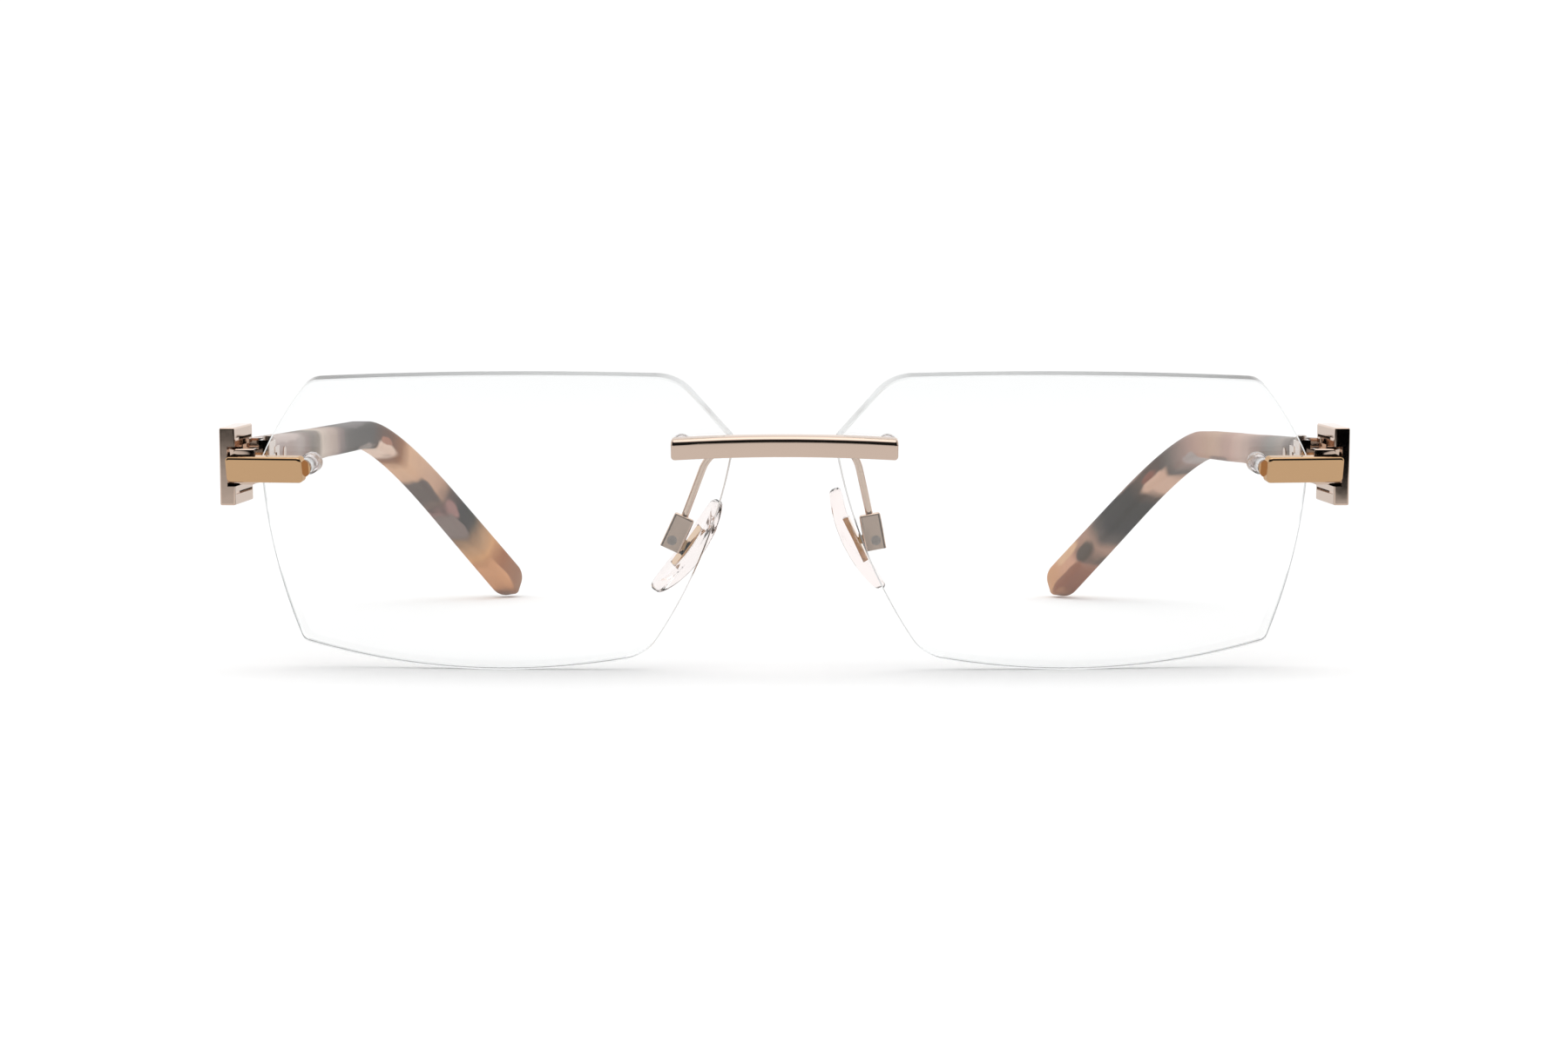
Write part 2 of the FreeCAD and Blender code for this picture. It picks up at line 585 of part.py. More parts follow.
def side_plate(bar):
    """The rectangular plate outside the hinge: a wide channel on its inner face between two slotted ribs."""
    half = SIDE_PLATE_HEIGHT / 2
    inner = -SIDE_PLATE_THICKNESS
    inner_rear = inner - SIDE_PLATE_LENGTH * math.tan(math.radians(SIDE_PLATE_FLARE))
    plan = [(0, 0), (0, SIDE_PLATE_LENGTH), (inner_rear, SIDE_PLATE_LENGTH), (inner, 0), (0, 0)]
    outline = Part.makePolygon([Vector(x, y, -half) for x, y in plan])
    plate = Part.Face(outline).extrude(Vector(0, 0, SIDE_PLATE_HEIGHT))
    plate = rounded(plate, SIDE_PLATE_EDGE_ROUND, lambda edge: True)
    recess = block(
        (inner - 1, inner + RECESS_DEPTH), (-1, SIDE_PLATE_LENGTH + 1),
        (-RECESS_HEIGHT / 2, RECESS_HEIGHT / 2),
    )
    plate = plate.cut(recess)
    margin = (SIDE_PLATE_LENGTH - SLOT_LENGTH) / 2
    for side in (-1, 1):
        middle = side * SLOT_SPACING / 2
        slot = block(
            (inner - 1, inner + SLOT_DEPTH), (margin, margin + SLOT_LENGTH),
            (middle - SLOT_HEIGHT / 2, middle + SLOT_HEIGHT / 2),
        )
        plate = plate.cut(slot)
    return one_solid(carried(plate, SIDE_PLACEMENT).cut(bar))


def end_block(bar, plate):
    """The block behind the front bar that carries the side plate and the hinge."""
    outer = SIDE_PLACEMENT.Base.x - SIDE_PLATE_THICKNESS + RECESS_DEPTH
    inner = HINGE_X + BARREL_RADIUS * 0.5
    middle = END_BAR_TIP.z + SIDE_PLATE_RISE
    solid = block(
        (inner, outer), (END_BAR_TIP.y, HINGE_Y - BARREL_RADIUS - 0.2),
        (middle - BLOCK_HEIGHT / 2, middle + BLOCK_HEIGHT / 2),
    )
    solid = rounded(solid, BLOCK_EDGE_ROUND, lambda edge: True)
    stop = block(
        (HINGE_X + BARREL_RADIUS + 0.25, outer - 0.6),
        (HINGE_Y - BARREL_RADIUS - 1.0, HINGE_Y + BARREL_RADIUS),
        (middle - BLOCK_HEIGHT / 2 + 0.5, middle + BLOCK_HEIGHT / 2 - 0.3),
    )
    front_bar_back = carried(
        block((-20, 20), (-30, -END_BAR_STANDOFF), (-20, 20)), END_PLACEMENT
    )
    solid = solid.fuse(stop).removeSplitter().cut(front_bar_back)
    return one_solid(one_solid(solid.cut(plate)).cut(bar))


# ---------------------------------------------------------------- hinge

def knuckle_spans():
    """Bottom and top of each knuckle, from the lowest, measured from the hinge's middle."""
    height = (HINGE_HEIGHT - (KNUCKLES - 1) * KNUCKLE_GAP) / KNUCKLES
    feet = [i * (height + KNUCKLE_GAP) - HINGE_HEIGHT / 2 for i in range(KNUCKLES)]
    return [(foot, foot + height) for foot in feet]


def knuckle_set(spans, tongue_y, bore):
    """Barrels on the hinge axis, each with a tongue that reaches its leaf."""
    result = None
    for low, high in spans:
        barrel = rod(BARREL_RADIUS, Vector(0, 0, low), Vector(0, 0, high))
        tongue = block((-BARREL_RADIUS, 0), (min(0, tongue_y), max(0, tongue_y)), (low, high))
        piece = barrel.fuse(tongue)
        result = piece if result is None else result.fuse(piece)
    return result.cut(rod(bore, Vector(0, 0, -HINGE_HEIGHT), Vector(0, 0, HINGE_HEIGHT)))


def at_hinge(shape):
    return carried(shape, Placement(HINGE_POINT, Rotation()))


def front_leaf(end_piece):
    """The outer three knuckles and the leaf brazed to the block."""
    reach = -BARREL_RADIUS - 0.3
    knuckles = knuckle_set(knuckle_spans()[0::2], reach, HINGE_PIN_RADIUS)
    half = HINGE_HEIGHT / 2
    inner = BARREL_RADIUS * 0.5
    leaf = block((-BARREL_RADIUS, inner), (reach - FRONT_LEAF_LENGTH, reach), (-half, half))
    leaf = rounded(leaf, 0.3, lambda edge: runs_along(edge, Z_AXIS) and centre_of(edge).x < 0
                   and centre_of(edge).y < reach - 1)
    return one_solid(at_hinge(knuckles.fuse(leaf).removeSplitter()).cut(end_piece))


def rear_leaf():
    """The inner two knuckles and the leaf on the inner face of the temple."""
    reach = BARREL_RADIUS + BUTT_GAP
    knuckles = knuckle_set(knuckle_spans()[1::2], reach, HINGE_PIN_RADIUS + SCREW_RUNNING_GAP)
    low = knuckle_spans()[1][0]
    high = knuckle_spans()[-2][1]
    leaf = block((-LEAF_THICKNESS, 0.4), (reach, reach + REAR_LEAF_LENGTH), (low, high))
    web = block((-BARREL_RADIUS, 0.4), (reach, reach + 0.7), (low, high))
    return knuckles.fuse([leaf, web]).removeSplitter()


def hinge_screw():
    """The screw through all the knuckles, with a slotted head on top."""
    half = HINGE_HEIGHT / 2
    shank = rod(HINGE_PIN_RADIUS, Vector(0, 0, -half), Vector(0, 0, half))
    head = rod(HINGE_HEAD_RADIUS, Vector(0, 0, half), Vector(0, 0, half + HINGE_HEAD_HEIGHT))
    crown = half + HINGE_HEAD_HEIGHT
    head = rounded(head, HINGE_HEAD_HEIGHT * 0.4, lambda edge: abs(centre_of(edge).z - crown) < 0.01)
    slot = block(
        (-HINGE_HEAD_RADIUS, HINGE_HEAD_RADIUS), (-DRIVER_SLOT_WIDTH / 2, DRIVER_SLOT_WIDTH / 2),
        (half + HINGE_HEAD_HEIGHT / 2, half + 2 * HINGE_HEAD_HEIGHT),
    )
    return at_hinge(one_solid(shank.fuse(head).removeSplitter().cut(slot)))


# ---------------------------------------------------------------- temples

def direction(inward, down):
    """A unit vector that runs back, turned inward and dropped by the two angles in degrees."""
    across = math.sin(math.radians(inward))
    back = math.cos(math.radians(inward))
    flat = math.cos(math.radians(down))
    return Vector(-across * flat, back * flat, -math.sin(math.radians(down)))


BUTT_Y = HINGE_Y + BARREL_RADIUS + BUTT_GAP
TEMPLE_BASE = Vector(HINGE_X + TEMPLE_THICKNESS / 2, BUTT_Y, HINGE_Z)


class TemplePath:
    """The middle line of a temple, as it is set: a straight run, an arc and a second straight run."""

    def __init__(self, setting):
        self.first_run = direction(TEMPLE_IN, setting["down"])
        self.last_run = direction(TEMPLE_END_IN, setting["end_down"])
        self.bend_axis = self.first_run.cross(self.last_run).normalize()
        self.bend_length = TEMPLE_BEND_RADIUS * self.first_run.getAngle(self.last_run)
        self.end = TEMPLE_STRAIGHT + self.bend_length + TEMPLE_END_RUN

    def frame(self, run):
        """The frame at a distance behind the front face: Y along the temple, X outward, Z up."""
        level = Rotation(X_AXIS * -1, self.first_run, Z_AXIS, "YZX")
        if run <= TEMPLE_STRAIGHT:
            return Placement(TEMPLE_BASE + self.first_run * run, level)
        angle = min(run - TEMPLE_STRAIGHT, self.bend_length) / TEMPLE_BEND_RADIUS
        inward = self.bend_axis.cross(self.first_run)
        point = TEMPLE_BASE + self.first_run * (TEMPLE_STRAIGHT + math.sin(angle) * TEMPLE_BEND_RADIUS)
        point = point + inward * ((1 - math.cos(angle)) * TEMPLE_BEND_RADIUS)
        point = point + self.last_run * max(0.0, run - TEMPLE_STRAIGHT - self.bend_length)
        return Placement(point, Rotation(self.bend_axis, math.degrees(angle)).multiply(level))

    def sizes(self, run):
        """Height and thickness at a distance along the temple."""
        if run < TEMPLE_STRAIGHT:
            share = run / TEMPLE_STRAIGHT
            height = TEMPLE_FRONT_HEIGHT + (TEMPLE_MIDDLE_HEIGHT - TEMPLE_FRONT_HEIGHT) * share
            return height, TEMPLE_THICKNESS
        share = (run - TEMPLE_STRAIGHT) / (self.end - TEMPLE_STRAIGHT)
        eased = share * share * (3 - 2 * share)
        height = TEMPLE_MIDDLE_HEIGHT + (TEMPLE_TIP_HEIGHT - TEMPLE_MIDDLE_HEIGHT) * eased
        return height, TEMPLE_THICKNESS + (TEMPLE_TIP_THICKNESS - TEMPLE_THICKNESS) * eased

    def section(self, run, scale=1.0):
        """A rounded rectangle across the temple."""
        height, thickness = self.sizes(run)
        half_x = thickness / 2 * scale
        half_z = height / 2 * scale
        corner = TEMPLE_CORNER_ROUND * scale
        slanted = corner * (1 - math.sqrt(0.5))
        points = []
        for sx, sz in ((1, 1), (-1, 1), (-1, -1), (1, -1)):
            side = Vector(sx * half_x, 0, sz * (half_z - corner))
            bend = Vector(sx * (half_x - slanted), 0, sz * (half_z - slanted))
            top = Vector(sx * (half_x - corner), 0, sz * half_z)
            points.append((side, bend, top) if sx * sz > 0 else (top, bend, side))
        edges = []
        for i, (first, bend, last) in enumerate(points):
            edges.append(Part.Arc(first, bend, last).toShape())
            edges.append(Part.LineSegment(last, points[(i + 1) % 4][0]).toShape())
        return carried(Part.Wire(edges), self.frame(run))


def temple_blank(path):
    """The whole acetate temple behind its metal end, with a rounded tip."""
    body_end = path.end - TIP_ROUND
    bend_end = TEMPLE_STRAIGHT + path.bend_length
    runs = [TEMPLE_CAP_LENGTH]
    runs += [TEMPLE_STRAIGHT + path.bend_length * i / BEND_STATIONS for i in range(BEND_STATIONS + 1)]
    runs += [(bend_end + body_end) / 2, body_end]
    sections = [path.section(run) for run in runs]
    for share in (0.3, 0.55, 0.75, 0.9, 0.98):
        sections.append(path.section(body_end + TIP_ROUND * share, math.sqrt(1 - share ** 2)))
    return one_solid(Part.makeLoft(sections, True, True))


def temple_cap(path):
    """The metal end of the temple, which meets the end piece."""
    cap = Part.Face(path.section(0)).extrude(path.first_run * TEMPLE_CAP_LENGTH)
    flat = block((0, 100), (BUTT_Y, BUTT_Y + 10), (-100, 100))
    return one_solid(cap.common(flat))


def core_wire(path):
    """The stiffening wire inside the straight run of the temple."""
    start = path.frame(TEMPLE_CAP_LENGTH).Base
    return rod(CORE_RADIUS, start, path.frame(TEMPLE_STRAIGHT).Base)


def rivet(path):
    """The rivet head on the inner face of the temple, behind the hinge."""
    face = -TEMPLE_THICKNESS / 2
    head = rod(
        RIVET_HEAD_RADIUS, Vector(face - RIVET_HEAD_HEIGHT, 0, 0), Vector(face + RIVET_HEAD_HEIGHT, 0, 0)
    )
    stem = rod(RIVET_STEM_RADIUS, Vector(face, 0, 0), Vector(-CORE_RADIUS / 2, 0, 0))
    return carried(head.fuse(stem).removeSplitter(), path.frame(RIVET_SETBACK))


# ---------------------------------------------------------------- assembly

def side_pieces(name):
    """Everything on one side, for the pad and temple settings of that name."""
    setting = PAD_SETTINGS[name]
    path = TemplePath(TEMPLE_SETTINGS[name])
    bar = end_bar()
    lens = one_solid(lens_blank().cut(bridge_hole()).cut(arm_notch()).cut(end_cuts()))
    pin = bridge_pin()
    pin_frame = Placement(BRIDGE_PLACEMENT.multVec(Vector(BRIDGE_PIN_X, 0, 0)), BRIDGE_PLACEMENT.Rotation)
    plate = side_plate(bar)
    end_piece = end_block(bar, plate)
    box = pad_box(setting)
    arm = one_solid(pad_arm(setting).cut(box))
    insert = pad_insert(setting)
    cap = temple_cap(path)
    leaf = at_hinge(rear_leaf())
    wire = core_wire(path)
    stud = rivet(path).cut(wire)
    temple = temple_blank(path).cut(wire).cut(stud).cut(leaf)
    return {
        "lens": lens,
        "bridge_pin": pin,
        "bridge_sleeve": fitted_sleeve(
            lens, pin, pin_frame, BRIDGE_PIN_RADIUS + BRIDGE_SLEEVE_WALL, BRIDGE_CAP_RADIUS, BRIDGE_CAP_LENGTH
        ),
        "pad_arm": arm,
        "pad_box": box,
        "pad_screw": pad_screw(setting),
        "pad": pad(setting, insert),
        "pad_insert": insert,
        "endpiece_bar": bar,
        "endpiece_sleeve": fitted_sleeve(
            lens, bar, END_PLACEMENT, END_PIN_RADIUS + END_SLEEVE_WALL, END_CAP_RADIUS, END_CAP_LENGTH
        ),
        "side_plate": plate,
        "endpiece_block": end_piece,
        "hinge_front_leaf": front_leaf(end_piece),
        "hinge_screw": hinge_screw(),
        "hinge_rear_leaf": one_solid(leaf.cut(stud)),
        "temple_cap": one_solid(cap.cut(leaf)),
        "temple": one_solid(temple),
        "temple_core_wire": wire,
        "temple_rivet": one_solid(stud),
    }


def all_pieces():
    """Every piece in the design frame, by node name."""
    pieces = {"bridge_bar": bridge_bar()}
    for name, shape in side_pieces("left").items():
        pieces["left_" + name] = shape
    for name, shape in side_pieces("right").items():
        pieces["right_" + name] = shape.mirror(ORIGIN, X_AXIS)
    return pieces


def standing_shift(pieces):
    """The move that puts the origin at the middle of the underside of the whole box."""
    box = Part.makeCompound(list(pieces.values())).optimalBoundingBox()
    return Vector(-box.Center.x, -box.Center.y, -box.ZMin)


def main():
    """Write one STEP file for each piece."""
    pieces = all_pieces()
    shift = standing_shift(pieces)
    os.makedirs("parts", exist_ok=True)
    for name, shape in pieces.items():
        shape.translate(shift)
        shape.exportStep("parts/" + name + ".step")


if __name__ == "__main__":
    main()
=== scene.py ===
"""Looks for the rimless eyeglasses: plated metal, clear resin lenses, soft pads and mottled acetate."""
import json
import logging
import math
from dataclasses import dataclass
from enum import Enum
from typing import Any

import bmesh
import bpy
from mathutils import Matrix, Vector

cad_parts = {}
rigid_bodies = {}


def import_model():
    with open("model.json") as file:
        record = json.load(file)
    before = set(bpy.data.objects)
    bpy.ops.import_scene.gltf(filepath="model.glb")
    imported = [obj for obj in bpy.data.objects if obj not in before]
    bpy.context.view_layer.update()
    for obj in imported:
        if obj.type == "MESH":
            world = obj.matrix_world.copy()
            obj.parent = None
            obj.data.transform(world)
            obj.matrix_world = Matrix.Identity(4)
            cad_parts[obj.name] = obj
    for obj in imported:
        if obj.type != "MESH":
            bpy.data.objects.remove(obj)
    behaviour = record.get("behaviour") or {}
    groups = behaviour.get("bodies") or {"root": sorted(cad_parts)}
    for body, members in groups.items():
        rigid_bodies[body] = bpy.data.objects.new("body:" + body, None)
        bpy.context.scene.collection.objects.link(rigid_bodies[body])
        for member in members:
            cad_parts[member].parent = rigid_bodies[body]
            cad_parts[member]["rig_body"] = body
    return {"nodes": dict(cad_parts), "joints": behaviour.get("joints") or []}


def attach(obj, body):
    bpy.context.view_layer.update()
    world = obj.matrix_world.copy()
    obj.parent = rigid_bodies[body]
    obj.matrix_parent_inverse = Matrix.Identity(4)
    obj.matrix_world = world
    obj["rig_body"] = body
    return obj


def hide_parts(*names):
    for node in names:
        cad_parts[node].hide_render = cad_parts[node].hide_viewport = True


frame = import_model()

logging.basicConfig(level=logging.INFO, format="%(name)s: %(message)s")
log = logging.getLogger("eyeglasses")

MM = 0.001
CLOUD_ACROSS = 0.12  # how fast an acetate cloud fades through the thickness, per millimetre
WELD_GAP = 0.0005 * MM
Colour = tuple[float, float, float, float]
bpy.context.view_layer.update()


class Side(Enum):
    """The wearer's two sides, with the sign of X on each."""

    LEFT = 1
    RIGHT = -1

    @property
    def word(self) -> str:
        """The side's name as the CAD nodes spell it."""
        return self.name.lower()


class Slot(Enum):
    """The record's material slots."""

    LENS = "lens"
    PLATED = "plated_metal"
    GOLD = "gold_metal"
    SCREW = "screw_steel"
    SLEEVE = "clear_sleeve"
    PAD = "clear_pad"
    ACETATE = "acetate"


# ---------------------------------------------------------------- colours and nodes

def linear(code: str) -> Colour:
    """Turns an sRGB hex value into linear light.

    Args:
        code: Six hex digits.

    Returns:
        Red, green, blue and an alpha of one.
    """
    shares = [int(code[i:i + 2], 16) / 255 for i in (0, 2, 4)]
    light = [s / 12.92 if s <= 0.04045 else ((s + 0.055) / 1.055) ** 2.4 for s in shares]
    return light[0], light[1], light[2], 1.0


def add_node(tree: Any, kind: str, inputs: dict[Any, Any] | None = None, **settings: Any) -> Any:
    """Adds a node with its settings, values and links.

    Args:
        tree: The node tree to add to.
        kind: The node's type name.
        inputs: Socket name or number to a value, or to an output socket to link from.
        settings: Attributes of the node.

    Returns:
        The new node.
    """
    node = tree.nodes.new(kind)
    for name, value in settings.items():
        setattr(node, name, value)
    for name, value in (inputs or {}).items():
        if isinstance(value, bpy.types.NodeSocket):
            tree.links.new(value, node.inputs[name])
        else:
            node.inputs[name].default_value = value
    return node


def blank_material(name: str) -> tuple[bpy.types.Material, Any, Any]:
    """Makes a material with an empty Principled shader.

    Args:
        name: The material's name.

    Returns:
        The material, its node tree and the Principled node.
    """
    material = bpy.data.materials.new(name)
    material.use_nodes = True
    tree = material.node_tree
    tree.nodes.clear()
    shader = add_node(tree, "ShaderNodeBsdfPrincipled")
    add_node(tree, "ShaderNodeOutputMaterial", {"Surface": shader.outputs["BSDF"]})
    return material, tree, shader


# ---------------------------------------------------------------- finishes

@dataclass(frozen=True)
class PlatedFinish:
    """Electroplated metal, polished before plating, so it mirrors its surroundings with a faint softness."""

    name: str
    colour: str
    roughness: float
    wave_height: float = 0.004 * MM
    wave_length: float = 1.6 * MM

    def build(self) -> bpy.types.Material:
        """Makes the material: a metal with very shallow hand-polishing waves.

        Returns:
            The material.
        """
        material, tree, shader = blank_material(self.name)
        shader.inputs["Base Color"].default_value = linear(self.colour)
        shader.inputs["Metallic"].default_value = 1.0
        shader.inputs["Roughness"].default_value = self.roughness
        place = add_node(tree, "ShaderNodeTexCoord")
        waves = add_node(
            tree, "ShaderNodeTexNoise",
            {"Vector": place.outputs["Object"], "Scale": 1 / self.wave_length, "Detail": 1.0},
        )
        bump = add_node(
            tree, "ShaderNodeBump",
            {"Height": waves.outputs[0], "Distance": self.wave_height, "Strength": 1.0},
        )
        tree.links.new(bump.outputs["Normal"], shader.inputs["Normal"])
        return material


@dataclass(frozen=True)
class ClearFinish:
    """A clear plastic that light passes right through."""

    name: str
    colour: str
    roughness: float
    ior: float

    def build(self) -> bpy.types.Material:
        """Makes the material: refracting resin with a clean or softened skin.

        Returns:
            The material.
        """
        material, _, shader = blank_material(self.name)
        shader.inputs["Base Color"].default_value = linear(self.colour)
        shader.inputs["Roughness"].default_value = self.roughness
        shader.inputs["IOR"].default_value = self.ior
        shader.inputs["Transmission Weight"].default_value = 1.0
        return material


@dataclass(frozen=True)
class Blotch:
    """One soft-edged cloud of colour in the acetate, placed along and up the temple, in millimetres; one of
    them is a painted highlight instead.
    """

    along: float
    up: float
    length: float
    height: float
    colour: str


@dataclass(frozen=True)
class AcetateFinish:
    """Block-cut cellulose acetate with bands and clouds of colour, tumbled to a matte face."""

    name: str
    bands: tuple[tuple[float, str], ...]
    blotches: tuple[Blotch, ...]
    roughness: float = 0.5
    ior: float = 1.48
    gloss: float = 0.08
    drift_along: float = 4.0
    drift_up: float = 1.1
    drift_size: float = 5.0
    mottle_size: float = 1.6
    mottle_depth: float = 0.03
    cloud_softness: float = 0.3

    def build(self) -> bpy.types.Material:
        """Makes the material from the temple's own map of along, up and across, in millimetres.

        Returns:
            The material.
        """
        material, tree, shader = blank_material(self.name)
        place = add_node(tree, "ShaderNodeAttribute", attribute_name="bench")
        noise = add_node(
            tree, "ShaderNodeTexNoise",
            {"Vector": place.outputs["Vector"], "Scale": 1 / self.drift_size, "Detail": 2.0},
        )
        centred = add_node(
            tree, "ShaderNodeVectorMath",
            {0: noise.outputs["Color"], 1: (0.5, 0.5, 0.5)}, operation="SUBTRACT",
        )
        drift = add_node(
            tree, "ShaderNodeVectorMath",
            {0: centred.outputs[0], 1: (self.drift_along, self.drift_up, 0.0)}, operation="MULTIPLY",
        )
        moved = add_node(
            tree, "ShaderNodeVectorMath",
            {0: place.outputs["Vector"], 1: drift.outputs[0]}, operation="ADD",
        )
        along = add_node(tree, "ShaderNodeSeparateXYZ", {"Vector": moved.outputs[0]})
        length = self.bands[-1][0]
        share = add_node(tree, "ShaderNodeMath", {0: along.outputs["X"], 1: length}, operation="DIVIDE")
        ramp = add_node(tree, "ShaderNodeValToRGB", {"Fac": share.outputs[0]})
        ramp.color_ramp.interpolation = "LINEAR"
        while len(ramp.color_ramp.elements) < len(self.bands):
            ramp.color_ramp.elements.new(0.5)
        for element, (run, code) in zip(ramp.color_ramp.elements, self.bands):
            element.position = run / length
            element.color = linear(code)
        colour = ramp.outputs["Color"]
        for blotch in self.blotches:
            colour = self._cloud(tree, moved.outputs[0], colour, blotch)
        mottle = add_node(
            tree, "ShaderNodeTexNoise",
            {"Vector": place.outputs["Vector"], "Scale": 1 / self.mottle_size, "Detail": 2.0},
        )
        shift = add_node(
            tree, "ShaderNodeMapRange",
            {"Value": mottle.outputs[0], "From Min": 0.3, "From Max": 0.7,
             "To Min": 1 - self.mottle_depth, "To Max": 1 + self.mottle_depth},
        )
        final = add_node(
            tree, "ShaderNodeMix", {0: 1.0, 6: colour, 7: shift.outputs["Result"]},
            data_type="RGBA", blend_type="MULTIPLY",
        )
        tree.links.new(final.outputs[2], shader.inputs["Base Color"])
        shader.inputs["Roughness"].default_value = self.roughness
        shader.inputs["IOR"].default_value = self.ior
        shader.inputs["Specular IOR Level"].default_value = self.gloss
        return material

    def _cloud(self, tree: Any, place: Any, under: Any, blotch: Blotch) -> Any:
        """Lays one blotch over the colour so far.

        Args:
            tree: The node tree.
            place: Socket with the drifted place along, up and across.
            under: Socket with the colour so far.
            blotch: The cloud to add.

        Returns:
            The socket with the new colour.
        """
        centre = add_node(
            tree, "ShaderNodeVectorMath",
            {0: place, 1: (blotch.along, blotch.up, 0.0)}, operation="SUBTRACT",
        )
        scaled = add_node(
            tree, "ShaderNodeVectorMath",
            {0: centre.outputs[0], 1: (2 / blotch.length, 2 / blotch.height, CLOUD_ACROSS)},
            operation="MULTIPLY",
        )
        reach = add_node(tree, "ShaderNodeVectorMath", {0: scaled.outputs[0]}, operation="LENGTH")
        mask = add_node(
            tree, "ShaderNodeMapRange",
            {"Value": reach.outputs["Value"], "From Min": 1 + self.cloud_softness,
             "From Max": 1 - self.cloud_softness, "To Min": 0.0, "To Max": 1.0},
            interpolation_type="SMOOTHSTEP",
        )
        mix = add_node(
            tree, "ShaderNodeMix", {0: mask.outputs["Result"], 6: under, 7: linear(blotch.colour)},
            data_type="RGBA",
        )
        return mix.outputs[2]


# Palladium-gold plating over nickel silver: pale champagne that mirrors black and white cleanly
CHAMPAGNE = PlatedFinish("champagne_gold_plating", "D5BFAF", 0.07)
# Yellow gold plating, buffed flat: warmer, with the same clean mirror
YELLOW_GOLD = PlatedFinish("buffed_yellow_gold_plating", "CCA67E", 0.09)
# Stainless screw steel, turned: a little duller than the plating around it
SCREW_STEEL = PlatedFinish("turned_stainless_screw", "B9AFA8", 0.22)
# Hard-coated lens resin: almost nothing but a faint reflection
LENS_RESIN = ClearFinish("hard_coated_lens_resin", "FDFEFE", 0.0, 1.5)
# Lens edge, ground and buffed: a soft grey line
LENS_RIM = ClearFinish("buffed_lens_edge", "E2E5E5", 0.3, 1.5)
# Soft PVC of the pads: glassy, very slightly warm; its IOR is below the real 1.5 to keep outlines faint
PAD_VINYL = ClearFinish("clear_soft_pvc", "F6EEEC", 0.06, 1.2)
# Clear nylon of the lens sleeves: a touch milky
SLEEVE_NYLON = ClearFinish("clear_moulded_nylon", "F4EEEE", 0.12, 1.5)

# Mottled acetate of the left temple: grey-taupe at the hinge, then rosy, then charcoal and amber
LEFT_ACETATE = AcetateFinish(
    "mottled_acetate_left",
    (
        (0.0, "A89D98"), (5.7, "938985"), (7.5, "79706A"), (13.0, "A29690"), (19.5, "908B86"),
        (24.5, "8E827C"), (30.5, "A08A82"), (36.0, "B2998E"), (42.0, "C0A497"), (47.5, "B59488"),
        (53.0, "AD8E80"), (59.5, "B89985"), (65.2, "B2917D"), (73.9, "AC8A7A"), (80.5, "9C7F74"),
        (85.0, "857067"), (89.0, "625750"), (92.5, "4E3F37"), (99.0, "564439"), (102.0, "332E29"),
        (109.0, "363230"), (111.5, "564D47"), (114.0, "A3816F"), (117.5, "946F5F"), (120.0, "C2937A"),
        (125.0, "BF8F6B"),
    ),
    (
        Blotch(57.9, -1.9, 16.0, 1.3, "88736A"), Blotch(79.3, -1.7, 8.0, 1.5, "A1948F"),
        Blotch(94.9, -1.4, 9.5, 1.8, "C39F8A"), Blotch(96.1, -0.2, 5.0, 1.3, "7A4B3B"),
        Blotch(115.8, -1.1, 4.5, 2.6, "50443A"), Blotch(119.5, 1.3, 7.0, 1.8, "CBA483"),
        Blotch(121.5, -1.9, 8.0, 1.5, "8A5B46"), Blotch(100.5, 1.9, 10.0, 1.2, "7E675C"),
    ),
)
# Mottled acetate of the right temple: pale at the hinge, charcoal in the middle, amber towards the tip
RIGHT_ACETATE = AcetateFinish(
    "mottled_acetate_right",
    (
        (0.0, "BBABA2"), (7.5, "B5A49F"), (14.0, "AC9992"), (20.0, "AFA29D"), (25.0, "978680"),
        (29.6, "80776F"), (33.0, "8E8278"), (36.5, "C6B6A9"), (42.5, "B6A297"), (48.0, "93807A"),
        (53.0, "645D59"), (59.0, "524D49"), (74.0, "4D4844"), (78.9, "5A473E"), (85.5, "6E4C3A"),
        (89.5, "8E6245"), (93.0, "CAA182"), (100.0, "BD9880"), (103.0, "B08C76"), (105.9, "5A4A45"),
        (109.0, "3A3736"), (112.5, "423E39"), (115.5, "AE8765"), (118.5, "C69468"), (121.5, "96603F"),
        (126.5, "936B53"),
    ),
    (
        Blotch(13.0, 1.9, 16.0, 1.3, "C1B1AB"), Blotch(61.1, 2.0, 22.0, 1.1, "716B69"),
        # painted highlight: the pale cloud at 83.2 along, low on the temple, is light on the underside that
        # faces the floor, not the acetate's colour
        Blotch(69.8, -1.7, 13.0, 1.5, "8F847E"), Blotch(83.2, -1.4, 9.0, 1.8, "D4B8A6"),
        Blotch(83.2, -0.3, 5.0, 1.2, "A0705C"), Blotch(101.3, -2.0, 8.0, 1.5, "61554F"),
        Blotch(107.3, -1.1, 3.5, 2.4, "93706A"), Blotch(110.5, -2.1, 6.0, 1.3, "7C6D67"),
        Blotch(122.7, -2.0, 6.0, 1.5, "C59069"),
    ),
)


# ---------------------------------------------------------------- meshes

